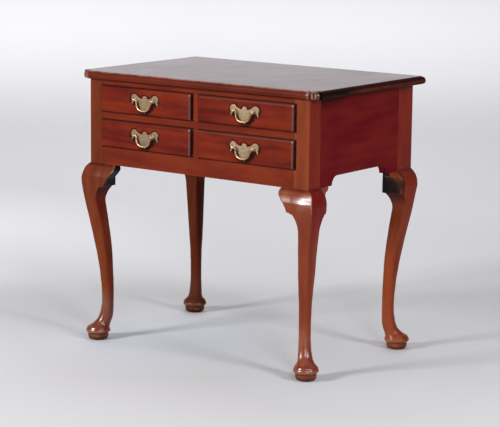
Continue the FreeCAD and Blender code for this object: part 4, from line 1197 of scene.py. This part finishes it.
@dataclass
class Pull:
    """The back plate and the bail of one drawer."""

    drawer: str
    x: float
    z: float
    face: float = -0.239
    half_width: float = 0.045
    rise: float = 0.0145
    fall: float = 0.0355
    plane: float = -0.2472
    # From the top lobe down to the finial: middle and end of each arc, as shares.
    arcs: Table = (
        (0.11, 0.7, 0.15, 0.56), (0.20, 0.27, 0.29, 0.29), (0.44, 0.42, 0.60, 0.83),
        (0.78, 1.0, 0.96, 0.70), (1.0, 0.28, 0.93, -0.13), (0.965, -0.28, 0.93, -0.43),
        (0.86, -0.25, 0.76, -0.145), (0.64, -0.145, 0.53, -0.24), (0.44, -0.34, 0.38, -0.50),
        (0.30, -0.69, 0.13, -0.77), (0.06, -0.86, 0.0, -1.0))
    top_share: float = 0.76
    # How far in and how far forward each ring of the plate lies in mm, and its wear.
    plate_rings: Table = ((0, 0, 0), (0, 0.45, 0.2), (0.12, 0.75, 0.5), (0.5, 1.25, 0.8),
                          (0.95, 1.58, 0.9), (1.25, 1.6, 0.2))
    # Across and down from the bolts' line in mm, then the rod's radius there.
    rod: Table = (
        (33.4, 0.0, 1.38), (26.0, 0.0, 1.4), (24.4, -0.35, 1.55), (23.0, -1.7, 1.8),
        (22.4, -4.0, 1.95), (22.3, -8.0, 2.05), (21.6, -13.0, 2.15), (19.4, -18.4, 2.3),
        (15.6, -22.8, 2.5), (10.5, -25.8, 2.65), (5.0, -27.1, 2.75), (0.0, -27.4, 2.8))
    rod_steps: int = 110

    def plate_outline(self) -> Array:
        """The bat-wing outline, shape (n, 2), from the top lobe round and back."""

        def at(across: float, up: float) -> Array:
            """A point from its shares of half the width and of the rise or the fall."""
            return np.array([self.half_width * across,
                             up * (self.rise if up > 0 else self.fall)])

        start = at(0.0, self.top_share)
        runs = []
        for mid_x, mid_z, end_x, end_z in self.arcs:
            end = at(end_x, end_z)
            runs.append(arc_between(start, at(mid_x, mid_z), end, 9))
            start = end
        right = np.vstack(runs + [start[None]])
        return np.vstack([right, right[-2:0:-1] * (-1, 1)])

    @staticmethod
    def narrowness(line: Array, inward: Array) -> Array:
        """How wide the plate is at each point of its outline.

        A ball that touches the outline there and passes through another point q has
        the width |q - p|^2 / ((q - p) . inward), and the smallest one is the width.

        Args:
            line: the outline, shape (n, 2).
            inward: unit normals that point into the plate, shape (n, 2).

        Returns:
            The widths, shape (n,).
        """
        apart = line[None] - line[:, None]
        ahead = (apart * inward[:, None]).sum(-1)
        with np.errstate(divide="ignore", invalid="ignore"):
            ball = (apart ** 2).sum(-1) / ahead
        return np.where(ahead > 1e-5, ball, np.inf).min(1)

    def plate(self) -> None:
        """The cast plate, with filed, slanting edges and a slightly hollow face."""
        line = self.plate_outline()
        way = np.roll(line, -1, 0) - np.roll(line, 1, 0)
        normal = np.stack([-way[:, 1], way[:, 0]], -1)
        normal /= np.linalg.norm(normal, axis=1, keepdims=True)
        inward = normal if (normal * (line.mean(0) - line)).sum() > 0 else -normal
        room = 0.4 * self.narrowness(line, inward)[:, None]
        rings = []
        for inset, out, _ in self.plate_rings:
            plan = line + inward * np.minimum(inset * MM, room)
            rings.append(points_from(self.x + plan[:, 0], self.face - out * MM,
                                     self.z + plan[:, 1]))
        made = new_skin(self.drawer + "_pull_plate_cast", np.array(rings), 40,
                        wear=np.array(self.plate_rings)[:, 2:])
        finish_piece(made, self.drawer, "plate_brass", PLATE_BRASS.material(),
                     self.drawer + "_pull_plate")

    def bail(self) -> None:
        """The rod, thickest at the bottom, bent to a U with its ends turned out."""
        rod = np.array(self.rod)
        whole = np.vstack([rod, rod[-2::-1] * (-1, 1, 1)]) * MM
        step = np.hypot(*np.diff(whole[:, :2], axis=0).T)
        along = np.concatenate([[0], np.cumsum(step)])
        path = smooth_through(np.linspace(0, along[-1], self.rod_steps),
                              np.column_stack([along, whole]))
        way = np.gradient(path[:, :2], axis=0)
        way /= np.linalg.norm(way, axis=1, keepdims=True)
        turn = np.linspace(0, 2 * np.pi, 18, endpoint=False)
        radius = path[:, 2:3]
        sideways = radius * np.cos(turn)
        points = points_from(self.x + path[:, :1] - way[:, 1:] * sideways,
                             self.plane + radius * np.sin(turn),
                             self.z + path[:, 1:2] + way[:, :1] * sideways)
        worn = blend_between(np.abs(np.linspace(-1, 1, self.rod_steps)), 0.75, 0.2)[:, None]
        worn = worn * (0.35 + 0.65 * np.clip(-np.sin(turn), 0, 1))
        made = new_skin(self.drawer + "_bail_bent", points, 50, wear=worn)
        finish_piece(made, self.drawer + "_bail", "bail_brass", BAIL_BRASS.material(),
                     self.drawer + "_bail")


def build_pulls() -> None:
    """A plate and a bail on each drawer."""
    for level, height in zip(("upper", "lower"), LIPS.pull_rows[::-1]):
        for side, word in ((-1, "left"), (1, "right")):
            pull = Pull(f"{level}_{word}_drawer", side * LIPS.pull_x, height)
            pull.plate()
            pull.bail()


# ---- studio
@dataclass(frozen=True)
class Softbox:
    """A light with its own strength, in watts, on the piece and on the paper."""

    name: str
    place: Place
    size: tuple[float, float]
    on_piece: float
    on_paper: float
    colour: Colour
    aim: Place = (0.0, 0.0, 0.45)

    def hang(self) -> None:
        """Hang one lamp that leaves out the paper, and one that lights nothing else."""
        for word, power, state in (("", self.on_piece, "EXCLUDE"),
                                   ("_paper", self.on_paper, "INCLUDE")):
            if not power:
                continue
            data = bpy.data.lights.new(self.name + word, "AREA")
            data.shape = "RECTANGLE"
            data.size, data.size_y = self.size
            data.energy, data.color = power, self.colour
            made = bpy.data.objects.new(data.name, data)
            made.location = self.place
            way = Vector(self.aim) - Vector(self.place)
            made.rotation_euler = way.to_track_quat("-Z", "Y").to_euler()
            bpy.context.scene.collection.objects.link(made)
            lit = bpy.data.collections.new(data.name + "_lights")
            lit.objects.link(bpy.data.objects["backdrop"])
            lit.collection_objects[0].light_linking.link_state = state
            made.light_linking.receiver_collection = lit


@dataclass
class Studio:
    """The floor and backdrop, the lights and the camera."""

    camera_place: Place = (3.0812, -4.1517, 1.2873)
    yaw: float = 36.54
    pitch: float = 10.23
    roll: float = 0.63
    focal_pixels: float = 1971.64
    picture_width: int = 500
    sensor: float = 36.0
    # Metres along the floor and up the backdrop, and the light and shade painted on the paper
    # there.
    light_and_shade_tones: Table = (
        (-0.9, 0.620), (-0.5, 0.610), (-0.15, 0.598), (0.1, 0.580), (0.35, 0.568),
        (0.6, 0.582), (0.8, 0.667), (1.1, 0.696), (2.2, 0.710), (2.6, 0.688), (3.1, 0.638),
        (3.3, 0.636), (3.5, 0.675), (3.7, 0.746), (3.9, 0.800), (4.2, 0.828), (4.6, 0.73),
        (5.1, 0.60), (5.4, 0.55), (6.6, 0.50))
    # Patches of light and shade painted on the paper: metres away from the camera, to the
    # right and up, how far a patch reaches, and how much lighter it is. The first two, over
    # the shadows by the front feet, are also cooler.
    patches: Table = (
        (0.02, -0.2, 0.0, 0.4, 0.1), (-0.31, 0.25, 0.0, 0.36, 0.055),
        (0.05, 0.55, 0.0, 0.5, -0.05), (1.35, -1.3, 0.0, 1.2, 0.29),
        (3.9, -1.3, 0.55, 1.1, 0.07), (-0.1, -0.8, 0.0, 1.0, 0.04),
        (1.25, 1.0, 0.0, 0.9, -0.05))
    # The paper's nearest line, where it starts to curve up, the curve and its top.
    near: float = -7.0
    far: float = 2.4
    radius: float = 1.6
    height: float = 5.0
    lights: tuple[Softbox, ...] = (
        Softbox("key", (-1.594, -3.755, 2.10), (0.95, 0.85), 162, 142, (1.0, 0.98, 0.955)),
        Softbox("panel", (2.4, -1.81, 1.15), (0.8, 1.3), 20, 0, (0.98, 0.96, 1.0)),
        Softbox("quarter", (2.7, -2.2, 2.4), (0.7, 0.7), 12, 31, (1.0, 0.98, 0.98)),
        Softbox("side", (4.04, -0.57, 2.3), (1.0, 1.0), 65, 95, (1.0, 0.98, 0.98)),
        Softbox("sky", (0.0, 0.8, 4.2), (4.5, 4.5), 38, 50, (0.97, 0.98, 1.0)),
        Softbox("wash", (-1.2, 1.6, 4.6), (4.0, 0.8), 0, 95, (0.97, 0.98, 1.0),
                (-2.4, 3.2, 2.9)))

    def camera(self) -> None:
        """The camera, from its turn round Z, its fall and its roll."""
        yaw, pitch, roll = np.radians([self.yaw, self.pitch, self.roll])
        back = np.array([np.sin(yaw) * np.cos(pitch), -np.cos(yaw) * np.cos(pitch),
                         np.sin(pitch)])
        right = np.array([np.cos(yaw), np.sin(yaw), 0.0])
        up = np.cross(back, right)
        axes = [right * np.cos(roll) + up * np.sin(roll),
                up * np.cos(roll) - right * np.sin(roll), back]
        data = bpy.data.cameras.new("camera")
        data.sensor_width = self.sensor
        data.lens = self.focal_pixels * self.sensor / self.picture_width
        data.clip_end = 100
        made = bpy.data.objects.new("camera", data)
        made.matrix_world = (Matrix.Translation(Vector(self.camera_place))
                             @ Matrix(np.stack(axes, axis=1).tolist()).to_4x4())
        bpy.context.scene.collection.objects.link(made)
        bpy.context.scene.camera = made

    def sweep(self) -> None:
        """A pale floor that curves up into a backdrop, open to a view from behind."""
        yaw = np.radians(self.yaw)
        forward = np.array([-np.sin(yaw), np.cos(yaw)])
        across = np.array([forward[1], -forward[0]])
        turn = np.linspace(0, np.pi / 2, 24)
        runs = np.concatenate([np.linspace(self.near, self.far, 12)[:-1],
                               self.far + self.radius * np.sin(turn),
                               np.full(6, self.far + self.radius)])
        rises = np.concatenate([np.zeros(11), self.radius * (1 - np.cos(turn)),
                                np.linspace(self.radius, self.height, 7)[1:]])
        flat = (runs[:, None, None] * forward
                + np.linspace(-9, 9, 12)[None, :, None] * across)
        made = new_skin("backdrop", points_from(flat[..., 0], flat[..., 1], rises[:, None]),
                        80, closed=False)
        if made.data.polygons[0].normal.z < 0:
            made.data.flip_normals()
        made.data.materials.append(self.paper(forward, across))
        made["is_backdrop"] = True

    def paper(self, forward: Array, across: Array) -> bpy.types.Material:
        """The paper, with light and shade painted on it from place to place.

        Args:
            forward: the way that the camera looks, level, shape (2,).
            across: the way to the camera's right, shape (2,).

        Returns:
            The material. From behind it's clear.
        """
        material, n, shader = blank_material("paper")
        where = n.add("ShaderNodeTexCoord")["Object"]
        cloud = n.noise(where, 0.9).ramp(0.3, 0.7, 0.985, 1.015)
        run, aside = (n.vector("DOT_PRODUCT", where, (*way, 0.0))
                      for way in (forward, across))
        first, last = self.light_and_shade_tones[0][0], self.light_and_shade_tones[-1][0]
        tone = n.add("ShaderNodeValToRGB", {0: (run + n.axes(where)[2]).ramp(first, last)})
        stops = tone.node.color_ramp.elements
        for index, (along, light) in enumerate(self.light_and_shade_tones):
            stop = stops[index] if index < 2 else stops.new(1.0)
            stop.position = (along - first) / (last - first)
            stop.color = (light, light, light, 1)
        tone.node.color_ramp.interpolation = "CARDINAL"
        shade = cloud * tone
        shares = []
        for ahead, right, high, reach, share in self.patches:
            place = (*(forward * ahead + across * right), high)
            shares.append(n.vector("DISTANCE", where, place).ramp(0.2, reach, share, 0.0))
            shade = shade * (shares[-1] + 1.0)
        # Painted light: a little lighter to the left.
        shade = shade * aside.ramp(-0.9, 0.9, 1.01, 0.98)
        # The painted light over the shadows by the front feet is cooler: less red, more blue.
        cool = n.most(*shares[:2])
        colour = n.add("ShaderNodeCombineColor", {0: shade * cool.ramp(0.0, 0.1, 1.0, 0.955),
                                                  1: shade,
                                                  2: shade * cool.ramp(0.0, 0.1, 1.03, 1.08)})
        shader.fill({"Base Color": colour, "Roughness": 0.9, "Specular IOR Level": 0.1})
        behind = n.add("ShaderNodeNewGeometry")["Backfacing"]
        either = n.add("ShaderNodeMixShader", {0: behind, 1: shader,
                                               2: n.add("ShaderNodeBsdfTransparent")})
        Wire(n, n.tree.nodes["Material Output"]).fill({0: either})
        return material

    def build(self) -> None:
        """Everything round the piece."""
        self.camera()
        self.sweep()
        for light in self.lights:
            light.hang()
        world = bpy.data.worlds.new("studio")
        world.use_nodes = True
        n = Nodes(world.node_tree)
        seen = n.add("ShaderNodeLightPath")["Is Camera Ray"]
        Wire(n, n.tree.nodes["Background"]).fill({0: (0.86, 0.87, 0.9),
                                                  1: seen.pick(0.13, 0.7)})
        bpy.context.scene.world = world
        bpy.context.scene.view_settings.view_transform = "Standard"


# ---- carried-over nodes
METALS: dict[str, MetalFinish] = {"*_pull_plate": PLATE_BRASS, "*_pull_bolts": BOLT_BRASS,
                                  "*_bail": BAIL_BRASS, "top_screws": IRON}
WOODS: dict[str, tuple[WoodFinish, Facing]] = {
    "*_drawer_front": (FRONT, Facing.ALONG_X), "*_drawer_side_*": (INNER, Facing.ALONG_Y),
    "*_drawer_*": (INNER, Facing.ALONG_X), "top_board*": (TOP, Facing.ALONG_X),
    "leg_*": (LEG, Facing.ALONG_Z), "knee_block*": (LEG, Facing.ALONG_Z),
    "side_panel*": (SIDE_IN_SHADE, Facing.ALONG_Y), "back_panel": (INNER, Facing.ALONG_X),
    "runner_*": (INNER, Facing.ALONG_Y), "kickers": (INNER, Facing.ALONG_Y),
    "*_rail": (CASE, Facing.ALONG_X), "divider_*": (CASE, Facing.ALONG_Z)}


def node_material(name: str, seed: int) -> bpy.types.Material:
    """The material of a carried-over node, by what its name says it is."""
    for pattern, metal in METALS.items():
        if fnmatch(name, pattern):
            return metal.material()
    for pattern, (wood, facing) in WOODS.items():
        if fnmatch(name, pattern):
            return wood.material(facing, seed)
    raise ValueError(name)


def dress_nodes() -> None:
    """Give every carried-over node its material."""
    for seed, (name, made) in enumerate(sorted(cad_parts.items())):
        made.data.materials.clear()
        made.data.materials.append(node_material(name, seed))


def corners(pair: tuple[Vector, Vector]) -> list[list[float]]:
    """A box's two corners as plain lists."""
    return [[float(v) for v in corner] for corner in pair]


def main() -> None:
    """Build the looks, piece by piece."""
    logging.basicConfig(level=logging.INFO, format="%(name)s %(message)s")
    cad_box = corners(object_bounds())
    for make in (wood_figure_group, dirt_and_shade_group, lip_edge_group, sharp_edge_group,
                 edge_wear_group, old_polish_group):
        make()
    Studio().build()
    dress_nodes()
    build_legs()
    for name, front in (("top_board_front", True), ("top_board_rear", False)):
        TopBoard(name, front).build()
    build_pulls()
    {"cad": cad_box, "visual": corners(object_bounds())}


if __name__ == "__main__":
    main()
